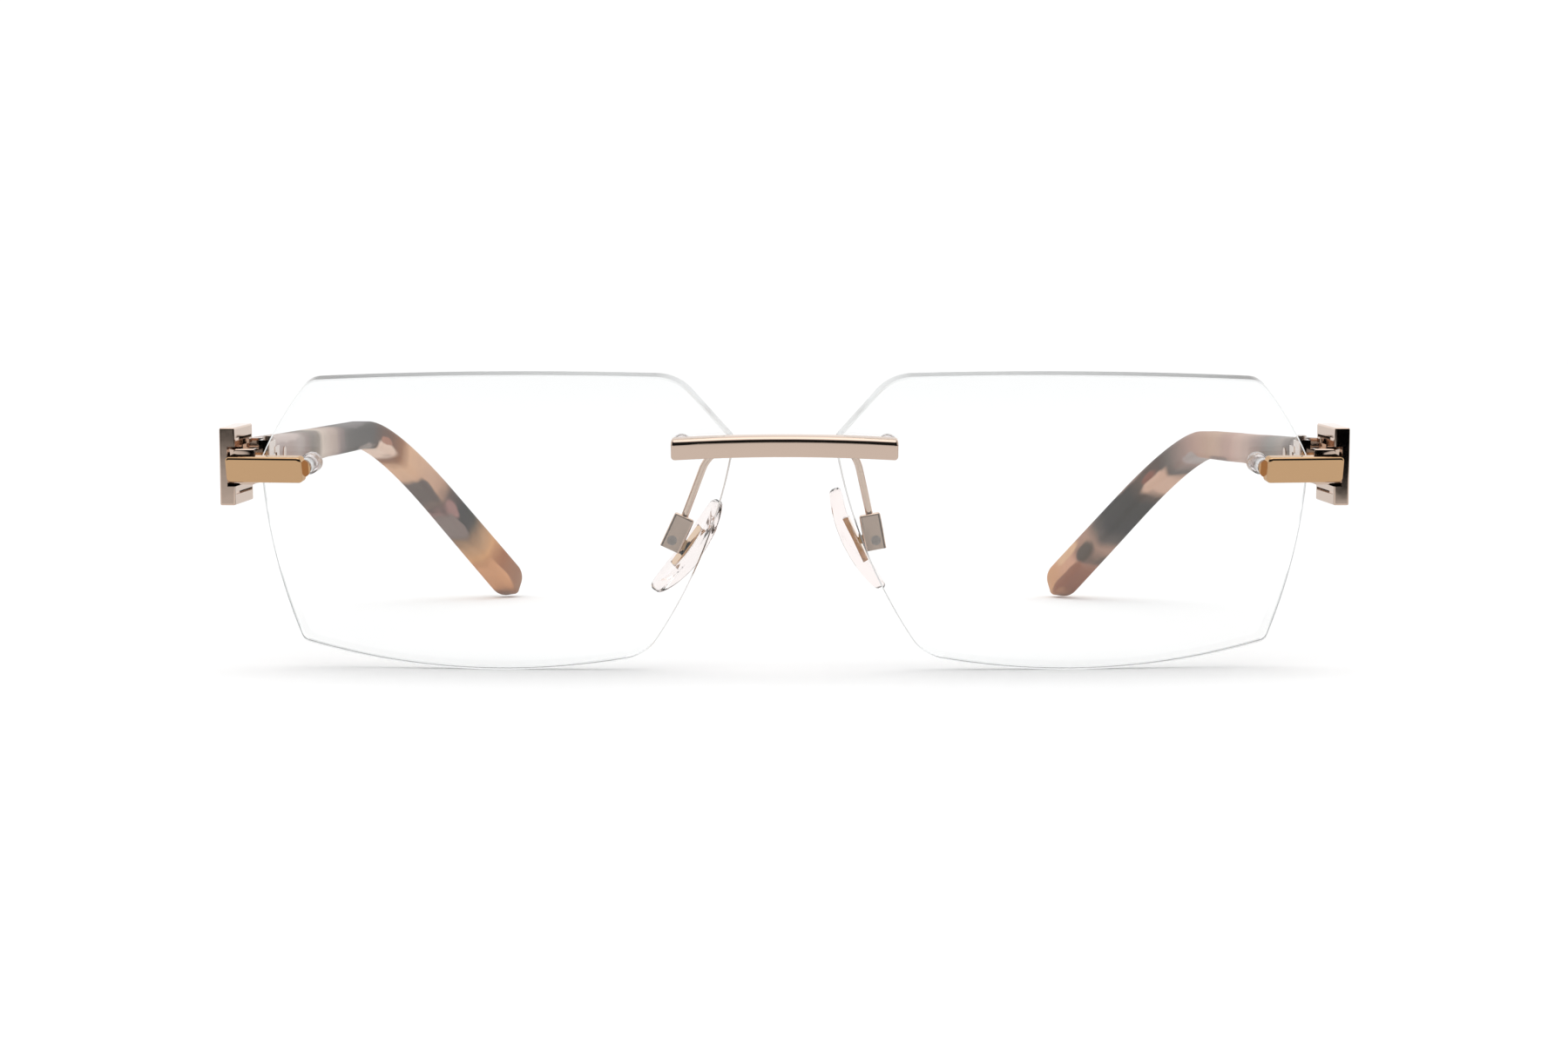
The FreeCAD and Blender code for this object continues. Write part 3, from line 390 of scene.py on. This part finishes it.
def welded(node: str, sharp: float = 30.0) -> bpy.types.Object:
    """Copies a CAD node into one welded mesh with smooth rounds and flat faces.

    Args:
        node: The CAD node's name.
        sharp: Edges that turn by more than this many degrees stay crisp.

    Returns:
        The new object, in the scene, with its place in its mesh.
    """
    source = frame["nodes"][node]
    mesh = source.data.copy()
    mesh.materials.clear()
    work = bmesh.new()
    work.from_mesh(mesh)
    bmesh.ops.remove_doubles(work, verts=work.verts, dist=WELD_GAP)
    work.to_mesh(mesh)
    work.free()
    for name in [a.name for a in mesh.attributes if a.name in ("custom_normal", "sharp_edge", "sharp_face")]:
        mesh.attributes.remove(mesh.attributes[name])
    mesh.polygons.foreach_set("use_smooth", [True] * len(mesh.polygons))
    mesh.set_sharp_from_angle(angle=math.radians(sharp))
    piece = bpy.data.objects.new(node + "_finished", mesh)
    bpy.context.scene.collection.objects.link(piece)
    weigh = piece.modifiers.new("weigh", "WEIGHTED_NORMAL")
    weigh.mode = "FACE_AREA"
    weigh.keep_sharp = True
    weigh.weight = 50
    return plain_mesh(piece)


def plain_mesh(piece: bpy.types.Object) -> bpy.types.Object:
    """Turns a piece's live modifiers into its plain mesh.

    Args:
        piece: The object to settle.

    Returns:
        The same object, with no modifiers.
    """
    graph = bpy.context.evaluated_depsgraph_get()
    mesh = bpy.data.meshes.new_from_object(piece.evaluated_get(graph), depsgraph=graph)
    piece.modifiers.clear()
    piece.data = mesh
    mesh.name = piece.name
    return piece


def closed(mesh: bpy.types.Mesh, sharp: float = 40.0) -> None:
    """Turns every face outward and leaves only real corners crisp.

    Args:
        mesh: A mesh whose poles and seam are already merged.
        sharp: Edges that turn by more than this many degrees stay crisp.
    """
    work = bmesh.new()
    work.from_mesh(mesh)
    bmesh.ops.dissolve_degenerate(work, dist=0.001 * MM, edges=work.edges)
    bmesh.ops.recalc_face_normals(work, faces=work.faces)
    work.to_mesh(mesh)
    work.free()
    mesh.polygons.foreach_set("use_smooth", [True] * len(mesh.polygons))
    mesh.set_sharp_from_angle(angle=math.radians(sharp))


def body_of(node: str) -> str:
    """The CAD body that holds a node."""
    return frame["nodes"][node]["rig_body"]


def finish_piece(piece: bpy.types.Object, node: str, material: bpy.types.Material | None) -> None:
    """Gives a piece its material and its body, and hides the CAD node it stands for.

    Args:
        piece: The finished mesh.
        node: The CAD node it replaces.
        material: The material for all its faces, or None if it already has them.
    """
    if material is not None:
        piece.data.materials.clear()
        piece.data.materials.append(material)
    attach(piece, body_of(node))
    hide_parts(node)
    log.info("%s stands for %s, %d faces", piece.name, node, len(piece.data.polygons))


class Finishes:
    """Every material, made once."""

    def __init__(self) -> None:
        """Builds the materials that do not depend on a side."""
        self.champagne = CHAMPAGNE.build()
        self.gold = YELLOW_GOLD.build()
        self.steel = SCREW_STEEL.build()
        self.resin = LENS_RESIN.build()
        self.rim = LENS_RIM.build()
        self.vinyl = PAD_VINYL.build()
        self.nylon = SLEEVE_NYLON.build()


# ---------------------------------------------------------------- sub-assemblies

@dataclass
class LensPair:
    """The two drilled lenses."""

    finishes: Finishes
    weld_angle: float = 20.0
    rim_turn: float = 40.0
    front_facing: float = 0.6

    def build(self) -> None:
        """Dresses both lenses."""
        for side in Side:
            self._lens(side)

    def _lens(self, side: Side) -> None:
        """Makes one lens, with its ground edge and holes in the edge finish.

        Args:
            side: Which lens.
        """
        node = side.word + "_lens"
        piece = welded(node, self.weld_angle)
        mesh = piece.data
        front = (p.normal * p.area for p in mesh.polygons if p.normal.y < -self.front_facing)
        facing = sum(front, Vector()).normalized()
        mesh.materials.clear()
        mesh.materials.append(self.finishes.resin)
        mesh.materials.append(self.finishes.rim)
        limit = math.cos(math.radians(self.rim_turn))
        for polygon in mesh.polygons:
            polygon.material_index = int(abs(polygon.normal.dot(facing)) < limit)
        finish_piece(piece, node, None)


@dataclass
class MetalWork:
    """All the plated and turned pieces of the front and the hinges."""

    finishes: Finishes
    champagne_parts: tuple[str, ...] = (
        "bridge_pin", "pad_arm", "pad_box", "side_plate", "endpiece_block",
        "hinge_front_leaf", "hinge_rear_leaf", "temple_cap", "temple_rivet",
    )
    gold_parts: tuple[str, ...] = ("endpiece_bar", "pad_insert")
    steel_parts: tuple[str, ...] = ("pad_screw", "hinge_screw")

    def build(self) -> None:
        """Dresses every metal piece."""
        finish_piece(welded("bridge_bar"), "bridge_bar", self.finishes.champagne)
        for side in Side:
            for names, slot, material in (
                (self.champagne_parts, Slot.PLATED, self.finishes.champagne),
                (self.gold_parts, Slot.GOLD, self.finishes.gold),
                (self.steel_parts, Slot.SCREW, self.finishes.steel),
            ):
                for name in names:
                    node = f"{side.word}_{name}"
                    finish_piece(welded(node), node, material)


@dataclass
class ClearFittings:
    """The lens sleeves and the nose pads."""

    finishes: Finishes

    def build(self) -> None:
        """Dresses the sleeves and pads."""
        for side in Side:
            for name in ("bridge_sleeve", "endpiece_sleeve"):
                node = f"{side.word}_{name}"
                finish_piece(welded(node), node, self.finishes.nylon)
            node = side.word + "_pad"
            finish_piece(welded(node), node, self.finishes.vinyl)


@dataclass(frozen=True)
class TempleSet:
    """How one temple is bent and what acetate it is cut from."""

    down: float
    end_down: float
    acetate: AcetateFinish


def run_direction(inward: float, down: float, side: Side) -> Vector:
    """A direction backward along a temple.

    Args:
        inward: Degrees towards the middle.
        down: Degrees below level.
        side: The side it is on.

    Returns:
        A unit vector.
    """
    flat = math.cos(math.radians(down))
    across = -math.sin(math.radians(inward)) * flat * side.value
    return Vector((across, math.cos(math.radians(inward)) * flat, -math.sin(math.radians(down))))


@dataclass
class Temples:
    """The two acetate temples: each a rounded bar that runs straight back, then bends down and in.

    The section is swept over a unit grid: the first share of its stations closes the front face, and the
    last share rounds the tip.
    """

    thickness: float = 3.9 * MM
    front_height: float = 4.1 * MM
    middle_height: float = 3.85 * MM
    tip_height: float = 4.7 * MM
    corner: float = 0.9 * MM
    cap_length: float = 1.3 * MM
    straight: float = 73.8 * MM
    bend_radius: float = 37.2 * MM
    end_run: float = 22.5 * MM
    tip_round: float = 3.2 * MM
    behind_hinge: float = 1.25 * MM
    inward: float = 3.65
    end_inward: float = 37.0
    stations: int = 150
    around: int = 72
    corner_steps: int = 8
    face_share: float = 0.006
    front_share: float = 0.012
    tip_share: float = 0.9
    merge_gap: float = 0.002 * MM
    left: TempleSet = TempleSet(0.87, 37.9, LEFT_ACETATE)
    right: TempleSet = TempleSet(-0.23, 40.0, RIGHT_ACETATE)

    def build(self) -> None:
        """Makes both temples."""
        tree = self._sweep()
        for side, setting in ((Side.LEFT, self.left), (Side.RIGHT, self.right)):
            self._temple(tree, side, setting)

    def _temple(self, tree: Any, side: Side, setting: TempleSet) -> None:
        """Runs the sweep for one side and settles it into a plain mesh.

        Args:
            tree: The sweep's node tree.
            side: Which temple.
            setting: How far this temple is bent, and its acetate.
        """
        node = side.word + "_temple"
        fold = next(j for j in frame["joints"] if j["name"] == side.word + "_temple_fold")
        hinge = Vector(fold["pos_m"])
        first = run_direction(self.inward, setting.down, side)
        last = run_direction(self.end_inward, setting.end_down, side)
        axis = first.cross(last).normalized()
        up = (Vector((0, 0, 1)) - first * first.z).normalized()
        material = setting.acetate.build()
        values = {
            "Start": self.cap_length,
            "Straight": self.straight,
            "Bend Radius": self.bend_radius,
            "Bend Length": self.bend_radius * first.angle(last),
            "End Run": self.end_run,
            "Tip Round": self.tip_round,
            "Thickness": self.thickness,
            "Front Height": self.front_height,
            "Middle Height": self.middle_height,
            "Tip Height": self.tip_height,
            "Corner": self.corner,
            "Base": hinge + Vector((side.value * self.thickness / 2, self.behind_hinge, 0)),
            "First Run": first,
            "Last Run": last,
            "Bend Axis": axis,
            "Inward": axis.cross(first),
            "Across": first.cross(up) * side.value,
            "Up": up,
            "Stations": self.stations,
            "Around": self.around,
            "Corner Steps": self.corner_steps,
            "Face Share": self.face_share,
            "Front Share": self.front_share,
            "Tip Share": self.tip_share,
            "Merge Gap": self.merge_gap,
            "Material": material,
        }
        piece = bpy.data.objects.new(node + "_finished", bpy.data.meshes.new(node))
        bpy.context.scene.collection.objects.link(piece)
        sweep = piece.modifiers.new("temple sweep", "NODES")
        sweep.node_group = tree
        sockets = {item.name: item.identifier for item in tree.interface.items_tree if item.in_out == "INPUT"}
        for name, value in values.items():
            sweep[sockets[name]] = value
        plain_mesh(piece)
        closed(piece.data)
        finish_piece(piece, node, material)

    @staticmethod
    def _sweep() -> bpy.types.NodeTree:
        """Builds the tree that sweeps a rounded section along straight, bend and straight.

        Returns:
            The geometry node tree, with the temple's sizes as its inputs.
        """
        tree = bpy.data.node_groups.new("temple_sweep", "GeometryNodeTree")
        lengths = (
            "Start", "Straight", "Bend Radius", "Bend Length", "End Run", "Tip Round", "Thickness",
            "Front Height", "Middle Height", "Tip Height", "Corner", "Face Share", "Front Share", "Tip Share",
            "Merge Gap",
        )
        for name in lengths:
            tree.interface.new_socket(name, in_out="INPUT", socket_type="NodeSocketFloat")
        for name in ("Base", "First Run", "Last Run", "Bend Axis", "Inward", "Across", "Up"):
            tree.interface.new_socket(name, in_out="INPUT", socket_type="NodeSocketVector")
        for name in ("Stations", "Around", "Corner Steps"):
            tree.interface.new_socket(name, in_out="INPUT", socket_type="NodeSocketInt")
        tree.interface.new_socket("Material", in_out="INPUT", socket_type="NodeSocketMaterial")
        tree.interface.new_socket("Geometry", in_out="OUTPUT", socket_type="NodeSocketGeometry")
        given = add_node(tree, "NodeGroupInput").outputs

        # a unit grid: X counts stations along the temple, Y goes round the section
        grid = add_node(
            tree, "GeometryNodeMeshGrid",
            {"Size X": 1.0, "Size Y": 1.0, "Vertices X": given["Stations"], "Vertices Y": given["Around"]},
        )
        here = add_node(tree, "GeometryNodeInputPosition")
        spots = add_node(tree, "ShaderNodeSeparateXYZ", {"Vector": here.outputs[0]})
        u = add_node(tree, "ShaderNodeMath", {0: spots.outputs["X"], 1: 0.5}, operation="ADD")
        v = add_node(tree, "ShaderNodeMath", {0: spots.outputs["Y"], 1: 0.5}, operation="ADD", use_clamp=True)

        # the run: closed flat at the front, eased to a round at the tip
        bend_end = add_node(
            tree, "ShaderNodeMath", {0: given["Straight"], 1: given["Bend Length"]}, operation="ADD"
        )
        end = add_node(tree, "ShaderNodeMath", {0: bend_end.outputs[0], 1: given["End Run"]}, operation="ADD")
        body_end = add_node(
            tree, "ShaderNodeMath", {0: end.outputs[0], 1: given["Tip Round"]}, operation="SUBTRACT"
        )
        body = add_node(
            tree, "ShaderNodeMapRange",
            {"Value": u.outputs[0], "From Min": given["Front Share"], "From Max": given["Tip Share"],
             "To Min": given["Start"], "To Max": body_end.outputs[0]},
        )
        turn = add_node(
            tree, "ShaderNodeMapRange",
            {"Value": u.outputs[0], "From Min": given["Tip Share"], "From Max": 1.0,
             "To Min": 0.0, "To Max": math.pi / 2},
        )
        turn_sin = add_node(tree, "ShaderNodeMath", {0: turn.outputs[0]}, operation="SINE")
        turn_cos = add_node(tree, "ShaderNodeMath", {0: turn.outputs[0]}, operation="COSINE")
        run = add_node(
            tree, "ShaderNodeMath",
            {0: turn_sin.outputs[0], 1: given["Tip Round"], 2: body.outputs[0]}, operation="MULTIPLY_ADD",
        )
        face = add_node(
            tree, "ShaderNodeMapRange",
            {"Value": u.outputs[0], "From Min": 0.0, "From Max": given["Face Share"],
             "To Min": 0.0, "To Max": 1.0},
        )
        girth = add_node(
            tree, "ShaderNodeMath", {0: face.outputs[0], 1: turn_cos.outputs[0]}, operation="MULTIPLY"
        )

        # the section: a rectangle with rounded corners, whose height changes along the run
        box = add_node(
            tree, "GeometryNodeCurvePrimitiveQuadrilateral",
            {"Width": given["Thickness"], "Height": given["Middle Height"]},
        )
        rounded = add_node(
            tree, "GeometryNodeFilletCurve",
            {"Curve": box.outputs[0], "Count": given["Corner Steps"], "Radius": given["Corner"]}, mode="POLY",
        )
        traced = add_node(
            tree, "GeometryNodeSampleCurve",
            {"Curves": rounded.outputs[0], "Factor": v.outputs[0]}, mode="FACTOR",
        )
        section = add_node(tree, "ShaderNodeSeparateXYZ", {"Vector": traced.outputs["Position"]})
        straight_height = add_node(
            tree, "ShaderNodeMapRange",
            {"Value": run.outputs[0], "From Min": 0.0, "From Max": given["Straight"],
             "To Min": given["Front Height"], "To Max": given["Middle Height"]},
        )
        rear_share = add_node(
            tree, "ShaderNodeMapRange",
            {"Value": run.outputs[0], "From Min": given["Straight"], "From Max": end.outputs[0],
             "To Min": 0.0, "To Max": 1.0},
            interpolation_type="SMOOTHSTEP",
        )
        swell = add_node(
            tree, "ShaderNodeMath", {0: given["Tip Height"], 1: given["Middle Height"]}, operation="SUBTRACT"
        )
        taller = add_node(
            tree, "ShaderNodeMath",
            {0: swell.outputs[0], 1: rear_share.outputs[0], 2: straight_height.outputs[0]},
            operation="MULTIPLY_ADD",
        )
        extra = add_node(
            tree, "ShaderNodeMath", {0: taller.outputs[0], 1: given["Middle Height"]}, operation="SUBTRACT"
        )
        half_extra = add_node(tree, "ShaderNodeMath", {0: extra.outputs[0], 1: 0.5}, operation="MULTIPLY")
        above = add_node(tree, "ShaderNodeMath", {0: section.outputs["Y"]}, operation="SIGN")
        high = add_node(
            tree, "ShaderNodeMath",
            {0: above.outputs[0], 1: half_extra.outputs[0], 2: section.outputs["Y"]},
            operation="MULTIPLY_ADD",
        )
        rise = add_node(
            tree, "ShaderNodeMath", {0: high.outputs[0], 1: girth.outputs[0]}, operation="MULTIPLY"
        )
        out = add_node(
            tree, "ShaderNodeMath", {0: section.outputs["X"], 1: girth.outputs[0]}, operation="MULTIPLY"
        )

        # the map for the acetate: millimetres along, up and across
        bench = add_node(
            tree, "ShaderNodeCombineXYZ", {"X": run.outputs[0], "Y": rise.outputs[0], "Z": out.outputs[0]}
        )
        in_mm = add_node(
            tree, "ShaderNodeVectorMath", {0: bench.outputs[0], "Scale": 1 / MM}, operation="SCALE"
        )
        mapped = add_node(
            tree, "GeometryNodeStoreNamedAttribute",
            {"Geometry": grid.outputs["Mesh"], "Name": "bench", "Value": in_mm.outputs[0]},
            data_type="FLOAT_VECTOR", domain="POINT",
        )

        # the path: straight, arc, straight
        past = add_node(
            tree, "ShaderNodeMath", {0: run.outputs[0], 1: given["Straight"]}, operation="SUBTRACT"
        )
        arc = add_node(
            tree, "ShaderNodeClamp", {"Value": past.outputs[0], "Min": 0.0, "Max": given["Bend Length"]}
        )
        angle = add_node(
            tree, "ShaderNodeMath", {0: arc.outputs[0], 1: given["Bend Radius"]}, operation="DIVIDE"
        )
        angle_sin = add_node(tree, "ShaderNodeMath", {0: angle.outputs[0]}, operation="SINE")
        angle_cos = add_node(tree, "ShaderNodeMath", {0: angle.outputs[0]}, operation="COSINE")
        level = add_node(
            tree, "ShaderNodeMath", {0: run.outputs[0], 1: given["Straight"]}, operation="MINIMUM"
        )
        ahead = add_node(
            tree, "ShaderNodeMath",
            {0: angle_sin.outputs[0], 1: given["Bend Radius"], 2: level.outputs[0]}, operation="MULTIPLY_ADD",
        )
        fall = add_node(tree, "ShaderNodeMath", {0: 1.0, 1: angle_cos.outputs[0]}, operation="SUBTRACT")
        sunk = add_node(
            tree, "ShaderNodeMath", {0: fall.outputs[0], 1: given["Bend Radius"]}, operation="MULTIPLY"
        )
        beyond = add_node(
            tree, "ShaderNodeMath", {0: run.outputs[0], 1: bend_end.outputs[0]}, operation="SUBTRACT"
        )
        after = add_node(tree, "ShaderNodeMath", {0: beyond.outputs[0], 1: 0.0}, operation="MAXIMUM")
        spine = given["Base"]
        for way, length in (("First Run", ahead), ("Inward", sunk), ("Last Run", after)):
            step = add_node(
                tree, "ShaderNodeVectorMath", {0: given[way], "Scale": length.outputs[0]}, operation="SCALE"
            )
            longer = add_node(
                tree, "ShaderNodeVectorMath", {0: spine, 1: step.outputs[0]}, operation="ADD"
            )
            spine = longer.outputs[0]
        sideways = add_node(
            tree, "ShaderNodeVectorMath", {0: given["Across"], "Scale": out.outputs[0]}, operation="SCALE"
        )
        upward = add_node(
            tree, "ShaderNodeVectorMath", {0: given["Up"], "Scale": rise.outputs[0]}, operation="SCALE"
        )
        offset = add_node(
            tree, "ShaderNodeVectorMath", {0: sideways.outputs[0], 1: upward.outputs[0]}, operation="ADD"
        )
        turned = add_node(
            tree, "ShaderNodeVectorRotate",
            {"Vector": offset.outputs[0], "Axis": given["Bend Axis"], "Angle": angle.outputs[0]},
            rotation_type="AXIS_ANGLE",
        )
        final = add_node(tree, "ShaderNodeVectorMath", {0: spine, 1: turned.outputs[0]}, operation="ADD")
        placed = add_node(
            tree, "GeometryNodeSetPosition", {"Geometry": mapped.outputs[0], "Position": final.outputs[0]}
        )
        joined = add_node(
            tree, "GeometryNodeMergeByDistance",
            {"Geometry": placed.outputs[0], "Distance": given["Merge Gap"]},
        )
        real = add_node(tree, "GeometryNodeRealizeInstances", {"Geometry": joined.outputs[0]})
        dressed = add_node(
            tree, "GeometryNodeSetMaterial", {"Geometry": real.outputs[0], "Material": given["Material"]}
        )
        add_node(tree, "NodeGroupOutput", {"Geometry": dressed.outputs[0]})
        return tree


@dataclass
class Studio:
    """A white floor in a white room; metal mirrors a painted reflection glowing on the floor where a pale
    table would be, and a dark room ahead of the glasses.

    Each pair of a start and an end is a place in metres on the floor, or a part of a direction in the
    dome, over which what mirrors see changes. The strengths are of light, where 1 is white.
    """

    floor_size: float = 8.0
    paper_white: float = 0.95
    paper_roughness: float = 0.9
    paper_gloss: float = 0.1
    # painted reflection: where and how brightly the floor glows for mirrors only, standing in for a pale
    # table and a bright middle strip
    table_skew: float = -0.42
    table_fade: tuple[float, float] = (-0.29, -0.135)
    table_edge: tuple[float, float] = (-0.263, -0.252)
    table_curve: float = 0.6
    table_gain: float = 0.78
    table_far: float = 0.1
    middle_side: tuple[float, float] = (0.045, 0.065)
    middle_light: float = 0.5
    overhead: tuple[float, float] = (0.68, 0.9)
    overhead_light: float = 1.35
    dark_room: float = 0.012
    rearward: tuple[float, float] = (-0.25, 0.1)
    dome_light: float = 1.1
    softbox_size: tuple[float, float] = (0.9, 0.7)
    softbox_place: tuple[float, float, float] = (0.0, -0.1, 0.95)
    softbox_power: float = 1.0
    camera_place: tuple[float, float, float] = (-0.00007, -0.5137508, 0.042689)
    camera_dip: float = 3.069
    focal: float = 85.05
    sensor: float = 36.0
    clip_start: float = 0.01

    def build(self) -> None:
        """Makes the floor, the light and the camera."""
        self._floor()
        self._dome()
        self._softbox()
        self._camera()

    def _floor(self) -> None:
        """Lays the floor just under the glasses."""
        half = self.floor_size / 2
        mesh = bpy.data.meshes.new("floor")
        corners = [(-half, -half, 0), (half, -half, 0), (half, half, 0), (-half, half, 0)]
        mesh.from_pydata(corners, [], [(0, 1, 2, 3)])
        mesh.materials.append(self._paper())
        floor = bpy.data.objects.new("floor", mesh)
        bpy.context.scene.collection.objects.link(floor)

    def _paper(self) -> bpy.types.Material:
        """White paper that glows only where mirrors see it: a painted reflection of a pale table that fades
        to its far edge and lies a little askew, with a bright strip down the middle.

        Returns:
            The floor's material.
        """
        material, tree, shader = blank_material("white_paper_sweep")
        shader.inputs["Base Color"].default_value = (self.paper_white,) * 3 + (1,)
        shader.inputs["Roughness"].default_value = self.paper_roughness
        shader.inputs["Specular IOR Level"].default_value = self.paper_gloss
        place = add_node(tree, "ShaderNodeTexCoord")
        spots = add_node(tree, "ShaderNodeSeparateXYZ", {"Vector": place.outputs["Object"]})
        askew = add_node(
            tree, "ShaderNodeMath", {0: spots.outputs["X"], 1: self.table_skew, 2: spots.outputs["Y"]},
            operation="MULTIPLY_ADD",
        )
        reach = add_node(
            tree, "ShaderNodeMapRange",
            {"Value": spots.outputs["Y"], "From Min": self.table_fade[0], "From Max": self.table_fade[1],
             "To Min": 0.0, "To Max": 1.0},
        )
        eased = add_node(
            tree, "ShaderNodeMath", {0: reach.outputs[0], 1: self.table_curve}, operation="POWER"
        )
        fade = add_node(
            tree, "ShaderNodeMath", {0: eased.outputs[0], 1: self.table_gain, 2: self.table_far},
            operation="MULTIPLY_ADD",
        )
        edge = add_node(
            tree, "ShaderNodeMapRange",
            {"Value": askew.outputs[0], "From Min": self.table_edge[0], "From Max": self.table_edge[1],
             "To Min": 0.0, "To Max": 1.0},
        )
        near = add_node(
            tree, "ShaderNodeMath", {0: fade.outputs[0], 1: edge.outputs[0]}, operation="MULTIPLY"
        )
        aside = add_node(tree, "ShaderNodeMath", {0: spots.outputs["X"]}, operation="ABSOLUTE")
        middle = add_node(
            tree, "ShaderNodeMapRange",
            {"Value": aside.outputs[0], "From Min": self.middle_side[0], "From Max": self.middle_side[1],
             "To Min": self.middle_light, "To Max": 0.0},
        )
        light = add_node(
            tree, "ShaderNodeMath", {0: near.outputs[0], 1: middle.outputs[0]}, operation="MAXIMUM"
        )
        # painted reflection: the floor glows only for mirror rays, showing a pale table and a bright middle
        # strip that are not there
        glow = add_node(tree, "ShaderNodeEmission", {"Color": light.outputs[0]})
        path = add_node(tree, "ShaderNodeLightPath")
        mirror = add_node(
            tree, "ShaderNodeMath",
            {0: path.outputs["Glossy Depth"], 1: path.outputs["Diffuse Depth"]},
            operation="SUBTRACT", use_clamp=True,
        )
        either = add_node(
            tree, "ShaderNodeMixShader",
            {0: mirror.outputs[0], 1: shader.outputs["BSDF"], 2: glow.outputs["Emission"]},
        )
        surface = next(n for n in tree.nodes if n.type == "OUTPUT_MATERIAL").inputs["Surface"]
        tree.links.new(either.outputs[0], surface)
        return material

    def _dome(self) -> None:
        """A white dome for light; mirrors see a dark room ahead, white overhead and white behind."""
        world = bpy.data.worlds.new("dome")
        world.use_nodes = True
        tree = world.node_tree
        tree.nodes.clear()
        place = add_node(tree, "ShaderNodeTexCoord")
        parts = add_node(tree, "ShaderNodeSeparateXYZ", {"Vector": place.outputs["Generated"]})
        ahead = add_node(
            tree, "ShaderNodeMapRange",
            {"Value": parts.outputs["Z"], "From Min": self.overhead[0], "From Max": self.overhead[1],
             "To Min": self.dark_room, "To Max": self.overhead_light},
            interpolation_type="SMOOTHSTEP",
        )
        behind = add_node(
            tree, "ShaderNodeMapRange",
            {"Value": parts.outputs["Y"], "From Min": self.rearward[0], "From Max": self.rearward[1],
             "To Min": 0.0, "To Max": 1.0},
            interpolation_type="SMOOTHSTEP",
        )
        room = add_node(
            tree, "ShaderNodeMix", {0: behind.outputs[0], 2: ahead.outputs[0], 3: self.dome_light},
            data_type="FLOAT",
        )
        path = add_node(tree, "ShaderNodeLightPath")
        mirror = add_node(
            tree, "ShaderNodeMath",
            {0: path.outputs["Glossy Depth"], 1: path.outputs["Diffuse Depth"]},
            operation="SUBTRACT", use_clamp=True,
        )
        light = add_node(
            tree, "ShaderNodeMix", {0: mirror.outputs[0], 2: self.dome_light, 3: room.outputs[0]},
            data_type="FLOAT",
        )
        sky = add_node(tree, "ShaderNodeBackground", {"Color": (1, 1, 1, 1), "Strength": light.outputs[0]})
        add_node(tree, "ShaderNodeOutputWorld", {"Surface": sky.outputs["Background"]})
        bpy.context.scene.world = world

    def _softbox(self) -> None:
        """One wide soft light overhead, which keeps the contact shadows soft."""
        light = bpy.data.lights.new("softbox", "AREA")
        light.shape = "RECTANGLE"
        light.size, light.size_y = self.softbox_size
        light.energy = self.softbox_power
        lamp = bpy.data.objects.new("softbox", light)
        lamp.location = self.softbox_place
        bpy.context.scene.collection.objects.link(lamp)

    def _camera(self) -> None:
        """Stands the camera in front, a little above the glasses."""
        camera = bpy.data.cameras.new("camera")
        camera.lens = self.focal
        camera.sensor_width = self.sensor
        camera.clip_start = self.clip_start
        eye = bpy.data.objects.new("camera", camera)
        eye.location = self.camera_place
        eye.rotation_euler = (math.radians(90 - self.camera_dip), 0, 0)
        bpy.context.scene.collection.objects.link(eye)
        bpy.context.scene.camera = eye
        bpy.context.scene.view_settings.view_transform = "Standard"


def main() -> None:
    """Builds the sub-assemblies in order."""
    finishes = Finishes()
    parts = (LensPair(finishes), MetalWork(finishes), ClearFittings(finishes), Temples(), Studio())
    for part in parts:
        part.build()
        log.info("%s built", type(part).__name__)


if __name__ == "__main__":
    main()
